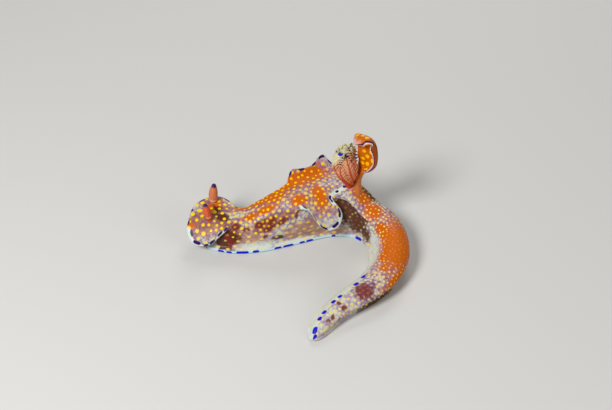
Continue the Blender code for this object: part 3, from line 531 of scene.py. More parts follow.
def side_of_skin(side):
    """One side of the skin: its points, and at each the numbers that the markings read."""
    stations = station_list()
    fine_at = np.linspace(0, LAST_PARAMETER, FINE_ROWS)
    fine = skin_points(stations, side, fine_at)
    girth = lengths_along(fine.transpose(1, 0, 2)).T
    weight = eased(ROW_WEIGHTS, (fine_at[1:] + fine_at[:-1]) / 2)
    spent = np.concatenate([np.zeros((len(stations), 1)), np.cumsum(np.diff(girth) * weight, axis=1)], axis=1)
    at = np.zeros((len(stations), ROW_COUNT))
    for i, row in enumerate(spent[:-1]):
        at[i] = np.interp(np.linspace(0, row[-1], ROW_COUNT), row, fine_at)
    at[-1] = at[-2]
    place = at / LAST_PARAMETER * (FINE_ROWS - 1)
    low = np.clip(place.astype(int), 0, FINE_ROWS - 2)
    share = place - low
    line = np.arange(len(stations))[:, None]
    points = fine[line, low] * (1 - share)[:, :, None] + fine[line, low + 1] * share[:, :, None]
    around = girth[line, low] * (1 - share) + girth[line, low + 1] * share
    mantle, foot = (int(edge / LAST_PARAMETER * (FINE_ROWS - 1)) for edge in (MANTLE_EDGE, FOOT_EDGE))
    numbers = {
        "station": stations[:, None],
        "side": float(side),
        "at": at,
        "girth": around,
        "mantle_gap": around - girth[:, mantle : mantle + 1],
        "foot_gap": around - girth[:, foot : foot + 1],
        "along_mantle": lengths_along(fine[:, mantle])[:, None],
        "along_foot": lengths_along(fine[:, foot])[:, None],
        "reach": eased(RIM_REACH[side], stations)[:, None],
    }
    return {"points": points, **{name: np.broadcast_to(value, at.shape) for name, value in numbers.items()}}


def strip_faces(rows, columns):
    """Two triangles for each cell of a grid of points numbered row by row."""
    corner = np.arange(rows * columns).reshape(rows, columns)
    a, b, c, d = corner[:-1, :-1], corner[1:, :-1], corner[1:, 1:], corner[:-1, 1:]
    return np.concatenate([np.stack([a, b, c], -1).reshape(-1, 3), np.stack([a, c, d], -1).reshape(-1, 3)])


def welded(points, faces):
    """Points that share a place become one, and triangles left with two equal corners go."""
    _, first, same = np.unique(np.round(points, 4), axis=0, return_index=True, return_inverse=True)
    faces = same.reshape(-1)[faces]
    whole = (faces[:, 0] != faces[:, 1]) & (faces[:, 1] != faces[:, 2]) & (faces[:, 2] != faces[:, 0])
    return first, faces[whole]


left_skin, right_skin = side_of_skin(1), side_of_skin(-1)
strip = {name: np.concatenate([left_skin[name][::-1], right_skin[name][1:]]) for name in left_skin}
strip_rows, strip_columns = strip["at"].shape
skin_kept, skin_faces = welded(strip["points"].reshape(-1, 3), strip_faces(strip_rows, strip_columns))
SKIN = {
    name: value.reshape(strip_rows * strip_columns, -1)[skin_kept].squeeze() for name, value in strip.items()
}
print("skin of", len(SKIN["points"]), "vertices and", len(skin_faces), "triangles")

# %% [markdown]
# Every piece is put together the same way: points and triangles as arrays, the numbers its finish reads as
# attributes, and then its body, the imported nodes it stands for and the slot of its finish. If the enclosed
# volume comes out negative the triangles face inwards, and all are turned round at once.


# %% From arrays to a piece
def outward_faces(points, faces):
    """Turns all triangles round if the volume they enclose, a third of area times height, is negative."""
    a, b, c = (points[faces[:, i]] for i in range(3))
    return faces if np.sum(a * np.cross(b, c)) > 0 else faces[:, ::-1]


def vertex_normals(points, faces):
    """Unit normals at the vertices: the sum of the cross products of the triangles around each."""
    a, b, c = (points[faces[:, i]] for i in range(3))
    cross = np.cross(b - a, c - a)
    total = np.column_stack(
        [sum(np.bincount(faces[:, i], cross[:, k], len(points)) for i in range(3)) for k in range(3)]
    )
    return total / np.maximum(np.linalg.norm(total, axis=1), 1e-12)[:, None]


def add_piece(name, points, faces, finish, replaced, fields):
    """A finished piece in the scene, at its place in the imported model's frame."""
    faces = np.ascontiguousarray(outward_faces(points, faces), np.int32)
    mesh = bpy.data.meshes.new(name)
    mesh.vertices.add(len(points))
    mesh.vertices.foreach_set("co", ((points + PLACE) * METRES).astype(np.float32).ravel())
    mesh.loops.add(faces.size)
    mesh.loops.foreach_set("vertex_index", faces.ravel())
    mesh.polygons.add(len(faces))
    mesh.polygons.foreach_set("loop_start", np.arange(0, faces.size, 3, dtype=np.int32))
    mesh.polygons.foreach_set("loop_total", np.full(len(faces), 3, np.int32))
    mesh.polygons.foreach_set("use_smooth", np.ones(len(faces), bool))
    mesh.update(calc_edges=True)
    for key, values in fields.items():
        attribute = mesh.attributes.new(key, "FLOAT", "POINT")
        attribute.data.foreach_set("value", np.asarray(values, np.float32).ravel())
    mesh.materials.append(finish.material)
    item = bpy.data.objects.new(name, mesh)
    bpy.context.scene.collection.objects.link(item)
    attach(item, "root")
    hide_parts(*replaced)
    print(name, "of", len(faces), "triangles")


skin_faces = outward_faces(SKIN["points"], skin_faces)
skin_normals = vertex_normals(SKIN["points"], skin_faces)
print("normals point up on", round(float(np.mean(skin_normals[:, 2] > 0)), 2), "of the skin")

# %% [markdown]
# Yellow dots cover the animal, large on the hood and on the hanging lobe, smaller along the back, and small,
# pale and crowded on the tail. Real dots keep their distance from each other. So each new dot goes where
# there is most room, counted in units of the spacing wanted there, until nowhere has room for another.
# Distance is measured through space, with a toll for turning away, or a dot on a lobe would show on its
# underside as well.

# %% Places of the dots
DOT_SPACING = ((-11, 1.6), (-2, 1.5), (2, 1.2), (12, 1.15), (22, 1.15), (31, 1.1), (36, 0.92), (42, 0.84),
               (60, 0.86), (72, 1.0), (84, 1.05))
DOT_SIZE = ((-11, 0.50), (-2, 0.47), (2, 0.36), (12, 0.34), (22, 0.34), (31, 0.30), (36, 0.25), (42, 0.23),
            (60, 0.24), (72, 0.31), (84, 0.33))
LOBE_SPACING = 1.65
LOBE_DOT = 0.48
FLANK_SPACING = 1.25
FLANK_DOT = 0.28
FLANK_STRETCH = 1.55
TURN_TOLL = 1.6
DOT_MARGIN = 0.95
DOT_SCALE = 0.93

station, at, girth, side = SKIN["station"], SKIN["at"], SKIN["girth"], SKIN["side"]
on_back = 1 - smooth(at, 4.0, 4.8)
on_flank = smooth(at, 7.2, 8.2)
on_tail = smooth(station, 33, 39)
on_lobe = on_back * smooth(SKIN["reach"], 2.5, 4.5) * smooth(at, 1.6, 2.6) * smooth(station, 10, 18)
dot_spacing = eased(DOT_SPACING, station) * (1 - on_lobe) + LOBE_SPACING * on_lobe
dot_spacing = dot_spacing + (FLANK_SPACING - dot_spacing) * on_flank * (1 - 0.8 * on_tail)
dot_size = eased(DOT_SIZE, station) * (1 - on_lobe) + LOBE_DOT * on_lobe
dot_size = DOT_SCALE * (dot_size + (FLANK_DOT - dot_size) * on_flank)
dot_stretch = 1 + (FLANK_STRETCH - 1) * on_flank * (1 - on_tail)
dot_room = (np.abs(SKIN["mantle_gap"]) > DOT_MARGIN) | (SKIN["reach"] < 0.7)
dot_room &= (SKIN["foot_gap"] < -0.8) & (at < 11.4)
body_ways = np.column_stack([on_route(ROUTE_HEADINGS, station), 0 * station])


def scatter_dots(points, normals, ways, spacing, size, stretch, allowed):
    """Signed distance to the edge of the nearest dot, in mm, positive inside.

    The distance to a dot's middle is the square root of the squared gap, less what stretching the dot along
    the body forgives, plus the square of the toll times one less the cosine between the normals.
    """
    points, normals = points.astype(np.float32), normals.astype(np.float32)
    wanted = (spacing * RANDOM.uniform(0.86, 1.14, len(points))).astype(np.float32)
    room = np.where(allowed, 99, 0).astype(np.float32)
    field = np.full(len(points), -9, np.float32)
    middles = []
    while room.max() > 1:
        here = int(np.argmax(room * RANDOM.uniform(0.9, 1.0)))
        gap = points - points[here]
        along = gap @ ways[here].astype(np.float32)
        turned = TURN_TOLL * (1 - normals @ normals[here])
        squared = np.einsum("ij,ij->i", gap, gap) - (1 - 1 / stretch[here] ** 2) * along**2 + turned**2
        distance = np.sqrt(np.maximum(squared, 0))
        room = np.minimum(room, distance / wanted)
        field = np.maximum(field, size[here] * RANDOM.uniform(0.68, 1.2) - distance)
        middles.append(here)
    return np.maximum(field, -1.5), middles


dot_field, dot_middles = scatter_dots(
    SKIN["points"], skin_normals, body_ways, dot_spacing, dot_size, dot_stretch, dot_room
)
print(len(dot_middles), "dots")

# %% [markdown]
# The mantle's edge is white with violet dashes set just inside it, and the foot's edge is pale with blue
# ones. A dash is a capsule in two distances that the skin already carries: along the edge and in from it.
# Where the left lobe ends in a notch, and on the tail, dashes and spots are drawn on the skin itself.

# %% Dashes along both edges
# Each dash has its middle along the edge, its half length and its inset
MANTLE_DASHES = {
    1: ((3.3, 0.6, 0.6), (6.6, 0.9, 1.5), (9.2, 1.0, 0.8), (11.6, 0.6, 0.3), (13.3, 0.8, 0.5),
        (15.7, 0.8, 0.9), (17.4, 0.6, 0.8), (37.8, 0.6, 1.1), (40.7, 1.2, 0.75), (44.3, 1.3, 0.65),
        (48.0, 1.1, 1.1), (51.4, 1.3, 1.25)),
    -1: ((0.1, 0.7, 0.6), (4.6, 0.9, 0.6), (8.0, 0.9, 0.6), (11.4, 0.9, 0.6), (14.8, 0.8, 0.6),
         (31.0, 0.8, 0.8), (34.4, 0.8, 0.7), (38.0, 0.7, 0.7), (40.9, 0.9, 1.0), (43.8, 0.8, 0.7),
         (47.6, 0.8, 0.6), (51.0, 0.6, 0.6), (54.4, 0.5, 0.5)),
}
FOOT_DASHES = {
    1: ((7.8, 0.8, 0.1), (9.8, 0.7, 0.1), (13.0, 1.5, 0.2), (16.2, 0.8, 0.2), (21.6, 0.9, 0.1),
        (24.2, 1.3, 0.1), (27.7, 0.7, 0.1), (29.6, 0.9, 0.1), (35.6, 0.5, 0.1), (41.8, 0.9, 0.4)),
    -1: ((5.0, 0.8, 0.1), (8.6, 0.9, 0.1), (12.4, 1.1, 0.1), (16.0, 0.7, 0.1), (19.8, 1.0, 0.1),
         (23.8, 0.8, 0.1), (28.2, 1.0, 0.1), (33.0, 0.7, 0.1), (38.5, 0.6, 0.1)),
}
MANTLE_DASH_WIDTH = 0.42
FOOT_DASH_WIDTH = 0.36
TAIL_SPOT_WIDTH = 0.54

# Marks drawn on the skin itself: each point is a station and a distance from the mid back, left positive
NOTCH_DASHES = (
    ((27.1, 5.0), (27.1, 4.8)), ((26.9, 4.3), (27.3, 3.7)), ((29.4, 2.35), (29.8, 2.2)),
    ((31.4, 0.85), (31.7, 0.75)),
)
NOTCH_EDGE = ((27.1, 5.8), (27.1, 4.6), (27.5, 3.7), (28.5, 2.9), (29.7, 2.3), (31.2, 1.3), (32.2, 0.8))
NOTCH_DASH_WIDTH = 0.3
TAIL_SPOTS = (
    ((62.9, 2.3), (63.3, 2.2)), ((65.9, 1.5), (66.2, 1.5)), ((71.1, 1.2), (71.2, 1.2)),
    ((73.1, 1.3), (73.3, 1.2)), ((76.6, 1.0), (76.8, 1.0)), ((78.6, 0.9), (78.8, 0.8)),
    ((81.4, 0.3), (81.9, 0.1)), ((82.8, -0.6), (83.0, -0.7)),
)
TAIL_BAND = ((58, 3.6), (62, 2.5), (66, 1.3), (70, 0.9), (76, 0.7), (80, 0.2), (84, -0.4))


def capsule(along, across, half_length, half_width):
    """Signed distance to a capsule's edge, positive inside: half its width less the distance to its spine."""
    beyond = np.maximum(np.abs(along) - np.maximum(half_length - half_width, 0), 0)
    return half_width - np.hypot(beyond, across)


def edge_dashes(table, along, across, half_width):
    """All the dashes that follow one edge, on both sides of the animal."""
    field = np.full(len(station), -1.5)
    for which, dashes in table.items():
        for middle, half, inset in dashes:
            dash = capsule(along - middle, across + inset, half, half_width)
            field = np.maximum(field, np.where(side == which, dash, -9))
    return field


def stroke(points):
    """Distance to a line through points of the skin.

    To each length of it, that is the gap that is left after going to the nearest place on it.
    """
    here = np.column_stack([station, side * girth])
    distance = np.full(len(here), 9.0)
    for start, end in zip(np.array(points[:-1]), np.array(points[1:])):
        way = end - start
        gone = np.clip((here - start) @ way / (way @ way), 0, 1)[:, None]
        distance = np.minimum(distance, np.linalg.norm(here - start - gone * way, axis=1))
    return np.where(at < 7, distance, 9.0)


mantle_dash_field = edge_dashes(MANTLE_DASHES, SKIN["along_mantle"], SKIN["mantle_gap"], MANTLE_DASH_WIDTH)
for points in NOTCH_DASHES:
    mantle_dash_field = np.maximum(mantle_dash_field, NOTCH_DASH_WIDTH - stroke(points))
foot_dash_field = edge_dashes(FOOT_DASHES, SKIN["along_foot"], SKIN["foot_gap"], FOOT_DASH_WIDTH)
for points in TAIL_SPOTS:
    foot_dash_field = np.maximum(foot_dash_field, TAIL_SPOT_WIDTH - stroke(points))
print("mantle edge", round(float(SKIN["along_mantle"].max()), 1), "mm long on its longer side")

# %% [markdown]
# Patches of orange lie along the back and saddle the tail, and small maroon ones sit on the flank. Each is
# placed as an ellipse: its station, its distance from the mid back over the skin, left positive, and two
# half sizes. The shader frays their edges with noise.

# %% Patches of orange, maroon, and of brown that is partly painted shade
TAIL_SADDLE = (51.2, -1.4, 7.2, 4.4)
ORANGE_PATCHES = (
    (8.3, 1.7, 1.6, 0.9), (12.0, 1.5, 2.2, 1.0), (14.6, -1.2, 2.4, 1.8), (19.6, 2.6, 1.9, 1.5),
    (24.6, 2.9, 1.5, 3.4), (24.2, -4.6, 3.8, 2.8), (7.0, -2.6, 2.8, 1.2), (11.5, -2.4, 3.2, 1.7),
    (15.8, -3.0, 3.2, 2.0), (20.0, -3.9, 3.4, 2.2), (-6.7, 6.9, 1.2, 1.1), (40.1, 1.4, 2.4, 2.2),
    (45.3, 2.6, 1.8, 1.5), TAIL_SADDLE, (47.6, 1.6, 2.6, 1.8), (55.0, 1.2, 2.4, 1.6),
    (58.3, -0.2, 1.4, 1.0), (58.4, -4.6, 4.0, 1.6), (36.0, 0.4, 2.4, 1.8), (33.0, -3.0, 2.4, 2.0),
    (-6.0, -2.0, 2.4, 1.6), (-1.0, -3.0, 2.0, 1.4),
)
MAROON_PATCHES = (
    (10.4, 4.5, 1.7, 1.4), (12.6, 4.8, 1.6, 1.4), (15.3, 5.9, 1.7, 1.1), (18.7, 6.3, 0.9, 1.3),
    (7.3, 4.6, 1.0, 0.9), (12.1, 6.3, 1.7, 1.1), (3.2, 8.0, 1.9, 2.0), (11.1, 8.2, 0.9, 0.8),
    (5.2, 3.6, 1.2, 1.3), (66.2, -1.5, 3.2, 3.2), (73.0, -1.8, 1.1, 0.9), (73.0, -0.2, 0.7, 0.7),
    (76.9, -1.5, 1.0, 0.7), (78.2, -1.2, 0.7, 0.7), (75.7, -3.5, 1.0, 1.0),
)
# Brown patches, partly brown skin and partly painted shade: under the hood, between and behind the
# rhinophores, at the tail's base and low on the tail's right flank
BROWN_AND_SHADE_PATCHES = (
    (1.5, 10.8, 4.6, 3.8), (-1.6, -1.2, 3.6, 2.6), (36.0, -2.4, 3.4, 3.4), (62.0, -6.6, 9.0, 2.8),
    (1.8, 1.2, 2.2, 1.6),
)
WARM_PATCHES = (
    (-4.5, 2.0, 9.0, 6.0), (15.0, -2.0, 13.0, 4.4), (6.0, 6.0, 7.0, 6.0), (24.0, 4.0, 6.0, 5.0),
    (51.5, -1.0, 6.0, 4.4),
)
WHITE_PATCHES = ((57.0, 6.0, 9.0, 3.2), (49.0, 6.6, 8.0, 3.4))
DIM_PATCHES = ((-4.5, 1.0, 9.5, 7.4), (-6.0, 5.0, 4.0, 4.0), (3.6, 5.4, 2.6, 3.0), (13.0, 5.2, 5.6, 2.2))

# Patches low on the left flank: a station, a height above the foot's edge and two half sizes
# The brown ones below are painted shade over skin that is partly brown: in the hollow behind the hanging lobe
# and under the hood
REAR_BROWN_AND_SHADE = ((32.6, 8.6, 5.4, 6.0), (37.0, 5.4, 5.4, 4.8), (41.4, 2.8, 3.6, 2.6))
LOW_BROWN_AND_SHADE = (*REAR_BROWN_AND_SHADE, (3.0, 3.8, 4.2, 2.6), (14.0, 3.2, 2.2, 0.9))
LOW_WARM = ((21.0, 4.0, 7.0, 4.2), (28.4, 1.8, 6.0, 2.4), (8.0, 3.4, 4.0, 1.4))
LOW_WHITE = ((8.8, 1.3, 5.6, 1.6), (17.6, 0.9, 6.0, 0.8))


def patches(table, across=side * girth):
    """The largest, over all ellipses, of one less the distance from its middle in half sizes."""
    field = np.full(len(station), -1.0)
    for middle, away, half_along, half_across in table:
        ellipse = 1 - np.hypot((station - middle) / half_along, (across - away) / half_across)
        field = np.maximum(field, ellipse)
    return field


def low_patches(table):
    """The same for patches low on the left flank, placed by their height above the foot's edge."""
    return np.where((side > 0) & (at > 4.2), patches(table, -SKIN["foot_gap"]), -1.0)


orange_field, maroon_field = patches(ORANGE_PATCHES), patches(MAROON_PATCHES)
brown_and_shade_field = np.maximum(patches(BROWN_AND_SHADE_PATCHES), low_patches(LOW_BROWN_AND_SHADE))
warm_field = np.maximum(patches(WARM_PATCHES), low_patches(LOW_WARM))
white_field = np.maximum(patches(WHITE_PATCHES), low_patches(LOW_WHITE))
print("orange on", round(float(np.mean(orange_field > 0)), 3), "of the skin")

# %% [markdown]
# The finish reads one number for each kind of mark, kept at the vertices: how near an edge is, how far inside
# a dot or a patch, and how pale or faint the dots are there. Between vertices the shader blends them, so that
# the edge of a dot stays round and sharp.

# %% What the skin's finish reads
EDGE_SHOWN = {
    1: ((-11, 1), (2.6, 1), (4.4, 0), (18.4, 0), (19.2, 1), (27.4, 1), (28.2, 0), (84, 0)),
    -1: ((-11, 1), (3.0, 1), (4.4, 0), (18.8, 0), (19.8, 1), (30, 1), (32, 0), (84, 0)),
}
EDGE_INSET = ((4.0, 0), (5.5, 0.9), (7.4, 0.8), (9.4, 0.4), (11, 0), (14, 0.1), (16, 0.5), (18, 0.5), (20, 0),
              (36, 0.7), (38, 0.8), (40, 0.4), (45, 0.3), (47, 0.7), (51, 0.9), (52.4, 1.0), (53.2, 0))
FOOT_SHOWN = {
    1: ((-11, 1), (36, 1), (44, 0.6), (84, 0.6)),
    -1: ((-11, 1), (34, 1), (40, 0), (76, 0), (80, 0.8), (84, 0.8)),
}


def by_side(tables):
    """A size at every vertex, from the table of its own side."""
    return np.where(side > 0, eased(tables[1], station), eased(tables[-1], station))


edge_gap = SKIN["mantle_gap"] + eased(EDGE_INSET, SKIN["along_mantle"]) * (side > 0)
mantle_edge = np.abs(np.where((edge_gap > 0) & (SKIN["mantle_gap"] < 0), 0, edge_gap))
mantle_edge = np.minimum(mantle_edge + 3 * (1 - by_side(EDGE_SHOWN)), stroke(NOTCH_EDGE))
tail_white = smooth(station, 58, 62) * smooth(side * girth - eased(TAIL_BAND, station), -0.3, 0.3)
on_saddle = np.clip(patches((TAIL_SADDLE,)) * 3, 0, 1)
faint = 0.8 * on_saddle + 0.15 * on_flank * (1 - on_tail)
# Dots in the painted shade behind the hanging lobe are dimmed as shade would dim them
faint = faint + 1.4 * np.maximum(low_patches(REAR_BROWN_AND_SHADE), 0)
faint = faint + 2.2 * np.maximum(maroon_field, 0) * (0.4 + 0.6 * on_tail)
pale = on_tail * (0.8 - 0.35 * smooth(station, 46, 50)) * (1 - on_flank) + 0.25 * on_flank
violet = 0.72 - 0.35 * on_lobe - 0.35 * on_flank - 0.4 * smooth(station, 66, 72)
skin_fields = {
    "dot": dot_field,
    "mantle_dash": mantle_dash_field,
    "foot_dash": foot_dash_field,
    "mantle_edge": mantle_edge,
    "foot_edge": np.abs(SKIN["foot_gap"]) + 3 * (1 - by_side(FOOT_SHOWN)),
    "orange": orange_field,
    "maroon": maroon_field,
    "brown_and_shade": brown_and_shade_field,
    "dim": patches(DIM_PATCHES),
    "warm": warm_field,
    "white": np.maximum(white_field, 2 * tail_white - 1),
    "pale": pale.clip(0, 1),
    "faint": faint.clip(0, 0.92),
    "violet": violet.clip(0, 1),
    "sole": smooth(at, 12.2, 12.8),
}
print("skin carries", len(skin_fields), "numbers at each vertex")

# %% [markdown]
# The ground colour is a whitish lilac with a violet net between the dots. The graph starts from it and lays
# one layer over the other, as a painter would: patches, net, dots with a pale ring, the white edges, and the
# dashes last. The skin is wet, so it has a clear coat, and light passes a little way into it.

# %% Finish of the skin
WHITE = colour(216, 230, 222)
PEARL = colour(206, 206, 192)
LILAC = colour(176, 158, 180)
VIOLET = colour(112, 74, 124)
ORANGE = colour(206, 98, 0)
MAROON = colour(120, 38, 32)
# A dark brown, partly the skin's own colour and partly painted shade
BROWN_AND_SHADE = colour(84, 40, 4)
DIM = colour(164, 104, 56)
WARM = colour(188, 128, 60)
YELLOW = colour(246, 206, 0)
CREAM = colour(236, 222, 130)
DASH_VIOLET = colour(40, 8, 92)
DASH_BLUE = colour(14, 26, 190)
FOOT_BLUE = colour(186, 222, 232)
DASH_BLUR = 0.06

skin = Finish(
    "sea_slug_skin", subsurface_weight=0.06, subsurface_radius=(1.0, 0.45, 0.3), subsurface_scale=0.0003,
    specular_ior_level=0.12, coat_weight=0.08, coat_roughness=0.1,
)
fray, drift, mottle = skin.noise(0.8, 3.0), skin.noise(2.2), skin.noise(0.6)
dot, dim, faint = skin.field("dot"), skin.field("dim"), skin.field("faint")
orange = skin.field("orange").frayed(fray, 1.5)
skin.ground(PEARL)
skin.lay(drift.step(0.38, 0.62), LILAC)
skin.lay(skin.field("warm").frayed(drift, 1.2).step(-0.1, 0.6) * 0.7, WARM)
skin.lay(orange.step(-0.9, 0.15) * 0.7, ORANGE)
skin.lay(dim.frayed(drift, 0.7).step(-0.1, 0.3) * 0.85, DIM)
skin.lay((0.0 - dot).step(0.06, 0.26) * mottle.step(0.40, 0.60) * skin.field("violet"), VIOLET)
skin.lay(skin.field("white").frayed(fray, 1.3).step(-0.1, 0.5) * 0.66, WHITE)
# Painted shade over some brown skin: under the hood, behind the rhinophores, behind the hanging lobe and low
# on the tail's right flank
skin.lay(skin.field("brown_and_shade").frayed(fray, 0.8).step(0.0, 0.5) * 0.96, BROWN_AND_SHADE)
skin.lay(orange.step(-0.15, 0.35), ORANGE)
skin.lay(skin.field("maroon").frayed(fray, 1.3).step(0.0, 0.5) * 0.92, MAROON)
halo = dot.step(-0.14, -0.02) * (1 - orange.step(-0.3, 0.2)) * (1 - dim.step(-0.1, 0.2))
skin.lay(halo * (1 - faint) * 0.3, WHITE)
skin.lay(dot.step(-0.05, 0.05) * (1 - faint), skin.mix(skin.field("pale"), YELLOW, CREAM))
skin.lay(1 - skin.field("mantle_edge").frayed(mottle, 0.4).step(0.30, 0.62), WHITE)
skin.lay(1 - skin.field("foot_edge").frayed(mottle, 0.6).step(0.3, 0.75), FOOT_BLUE)
skin.lay(skin.field("mantle_dash").step(-DASH_BLUR, DASH_BLUR), DASH_VIOLET)
skin.lay(skin.field("foot_dash").step(-DASH_BLUR, DASH_BLUR), DASH_BLUE)
skin.lay(skin.field("sole"), LILAC)
skin.wear(0.42 + skin.noise(1.2) * 0.2)
skin.bump(skin.noise(0.25, 3.0) * 0.5 + dot.step(-0.1, 0.15) * 0.8, 0.05, 0.7)

FLESH_NODES = [
    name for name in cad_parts
    if name.startswith(("head", "trunk", "tail", "foot", "hood", "rear_lobe", "middle_lobe"))
]
add_piece("skin", SKIN["points"], skin_faces, skin, FLESH_NODES, skin_fields)

# %% [markdown]
# What grows from the body is a tapering rod: rhinophores, feelers, the snout, the horn and the ribs of the
# gills. One function carries an oval ring along a path, and another closes the rings at both ends. The rings
# can be cupped, when both edges of the oval are bent over to one side.


# %% Rods along a path
def path_points(knots, share):
    """Points at shares of the way along a smooth curve through the knots."""
    along = lengths_along(np.array(knots, float))
    return spline(along, knots, np.asarray(share) * along[-1])


def read_sizes(sizes, share):
    """Sizes given at even steps along a path, read at any share of it."""
    sizes = np.asarray(sizes, float)
    return spline(np.linspace(0, 1, len(sizes)), sizes[:, None], share)[:, 0]


def headings(path):
    """Unit ways along a path at each of its points."""
    way = np.gradient(path, axis=0)
    return way / np.linalg.norm(way, axis=1)[:, None]


def full_turn(count):
    """Angles evenly round a ring, in radians."""
    return np.linspace(0, 2 * math.pi, count, endpoint=False)


def rod_rings(path, wide_sizes, thick_sizes, across, around, cup=0.0):
    """Oval rings round a path: the wide way times a cosine, plus the thick way times a sine.

    The cup adds its size times the squared cosine to the thick way, which bends both edges over.
    """
    way = headings(path)
    across = np.broadcast_to(np.asarray(across, float), path.shape)
    across = across - way * np.sum(across * way, axis=1)[:, None]
    across = across / np.linalg.norm(across, axis=1)[:, None]
    over = np.cross(way, across)
    turn = full_turn(around)
    wide = np.reshape(wide_sizes, (len(path), -1)) * np.cos(turn)
    thick = np.reshape(thick_sizes, (len(path), -1)) * np.sin(turn)
    thick = thick + np.reshape(cup, (-1, 1)) * np.cos(turn) ** 2
    return path[:, None, :] + across[:, None, :] * wide[:, :, None] + over[:, None, :] * thick[:, :, None]


def tube_faces(rings, around):
    """Triangles of closed rings, and a fan to one more point at each end; those two are numbered last."""
    corner = np.arange(rings * around).reshape(rings, around)
    after = np.roll(corner, -1, axis=1)
    a, b, c, d = corner[:-1], corner[1:], after[1:], after[:-1]
    first, last = rings * around, rings * around + 1
    start = np.stack([after[0], corner[0], np.full(around, first)], -1)
    end = np.stack([corner[-1], after[-1], np.full(around, last)], -1)
    sides = [np.stack([a, b, c], -1).reshape(-1, 3), np.stack([a, c, d], -1).reshape(-1, 3)]
    return np.concatenate([*sides, start, end])


def tube(rings):
    """Points and triangles of a closed rod from its rings."""
    ends = [rings[0].mean(axis=0), rings[-1].mean(axis=0)]
    points = np.concatenate([rings.reshape(-1, 3), ends])
    return points, tube_faces(*rings.shape[:2])


def tube_field(values, rings):
    """A number for each ring or ring point, with the mean of each end ring for the two end points."""
    values = np.asarray(values, float)
    values = np.broadcast_to(values[:, None] if values.ndim == 1 else values, rings.shape[:2])
    return np.concatenate([values.ravel(), [values[0].mean(), values[-1].mean()]])


def end_rounding(share, start):
    """Shrinks a rod past a share of its length as a ball does: the root of one less the square."""
    t = np.clip((np.asarray(share) - start) / (1 - start), 0, 1)
    return np.sqrt(np.clip(1 - t * t, 0, 1))


print("rods ready")

# %% [markdown]
# The rhinophores are the two clubs on the head that smell the water. A smooth stalk carries a club of some
# twenty thin leaves, which slant down to the front and stop at a bare seam. The leaves are a ripple of the
# club's radius along the path, sharpened so that they read as plates, and shifted round it for the slant.

# %% Rhinophores
# Each has a size, and a path from its foot to its tip
RHINOPHORES = {
    "rhinophore_left": (0.92, ((-22.7, 0.5, 5.9), (-22.9, 0.5, 7.2), (-23.3, 0.4, 9.5), (-23.8, 0.2, 12.0))),
    "rhinophore_right": (1.06, ((-22.2, 5.8, 6.2), (-22.2, 5.9, 7.3), (-22.1, 6.2, 9.9), (-21.8, 6.4, 13.0))),
}
RHINOPHORE_SIZES = (0.66, 0.66, 0.68, 0.74, 0.98, 1.04, 0.99, 0.86, 0.64, 0.34)
CLUB_SHARES = (0.36, 0.92)
LEAF_COUNT = 18
LEAF_DEPTH = 0.20
LEAF_SLANT = 1.3
LEAF_SHARPNESS = 0.7
COLLAR = 0.10
COLLAR_WIDTH = 0.018


def rhinophore_surface(knots, size):
    """A stalk and club: the radius from its table, less the leaf depth times a ripple in the way along."""
    share = np.concatenate([np.linspace(0, 0.34, 24), np.linspace(0.345, 0.985, 200), [0.992, 0.997, 1.0]])
    turn = full_turn(56)
    low, high = CLUB_SHARES
    phase = (share[:, None] - low) / (high - low) * LEAF_COUNT + LEAF_SLANT * np.cos(turn)
    ripple = np.abs(np.sin(math.pi * phase)) ** LEAF_SHARPNESS
    on_club = smooth(share, low - 0.01, low + 0.02) * (1 - smooth(share, high, high + 0.03))
    seam = smooth(np.abs(np.abs(turn - math.pi) - math.pi), 0.05, 0.28)
    depth = LEAF_DEPTH * on_club[:, None] * (1 - ripple) * seam
    collar = COLLAR * np.exp(-(((share - low + 0.02) / COLLAR_WIDTH) ** 2))[:, None]
    size = size * read_sizes(RHINOPHORE_SIZES, share)[:, None] * (1 - depth + collar)
    size = size * end_rounding(share, 0.97)[:, None].clip(0.05, 1)
    rings = rod_rings(path_points(knots, share), size, size, (0, 1, 0), len(turn))
    return rings, share, ripple * on_club[:, None]


STALK = colour(196, 70, 20)
CLUB = colour(212, 66, 12)
LEAF_PALE = colour(232, 140, 80)
TIP_VIOLET = colour(46, 18, 84)
COLLAR_PALE = colour(236, 206, 170)
CLUB_TAN = colour(206, 130, 90)

rhinophore = Finish(
    "rhinophore_flesh", subsurface_weight=0.15, subsurface_radius=(1.0, 0.35, 0.2), subsurface_scale=0.0004,
    specular_ior_level=0.3, coat_weight=0.25, coat_roughness=0.1,
)
up = rhinophore.field("share")
rhinophore.ground(STALK)
rhinophore.lay(up.step(0.30, 0.42), CLUB)
rhinophore.lay(rhinophore.field("tan") * 0.8, CLUB_TAN)
rhinophore.lay(rhinophore.field("leaf") * 0.35, LEAF_PALE)
rhinophore.lay(up.step(0.30, 0.33) * (1 - up.step(0.35, 0.37)), COLLAR_PALE)
rhinophore.lay(up.frayed(rhinophore.noise(0.5), 0.1).step(0.86, 0.93), TIP_VIOLET)
rhinophore.wear(0.25 + rhinophore.noise(0.4) * 0.25)
rhinophore.bump(rhinophore.noise(0.2), 0.02, 0.6)

for name, (size, knots) in RHINOPHORES.items():
    rings, share, ripple = rhinophore_surface(knots, size)
    points, faces = tube(rings)
    tan = np.full(len(points), float(name.endswith("right")))
    fields = {"share": tube_field(share, rings), "leaf": tube_field(ripple, rings), "tan": tan}
    add_piece(name, points, faces, rhinophore, [name], fields)

# %% [markdown]
# Below the hood lie the mouth, at the end of a short snout, and a feeler on each side of it. They are soft
# lilac flesh. The snout is a rod whose last rings turn back into the slit between the lips.

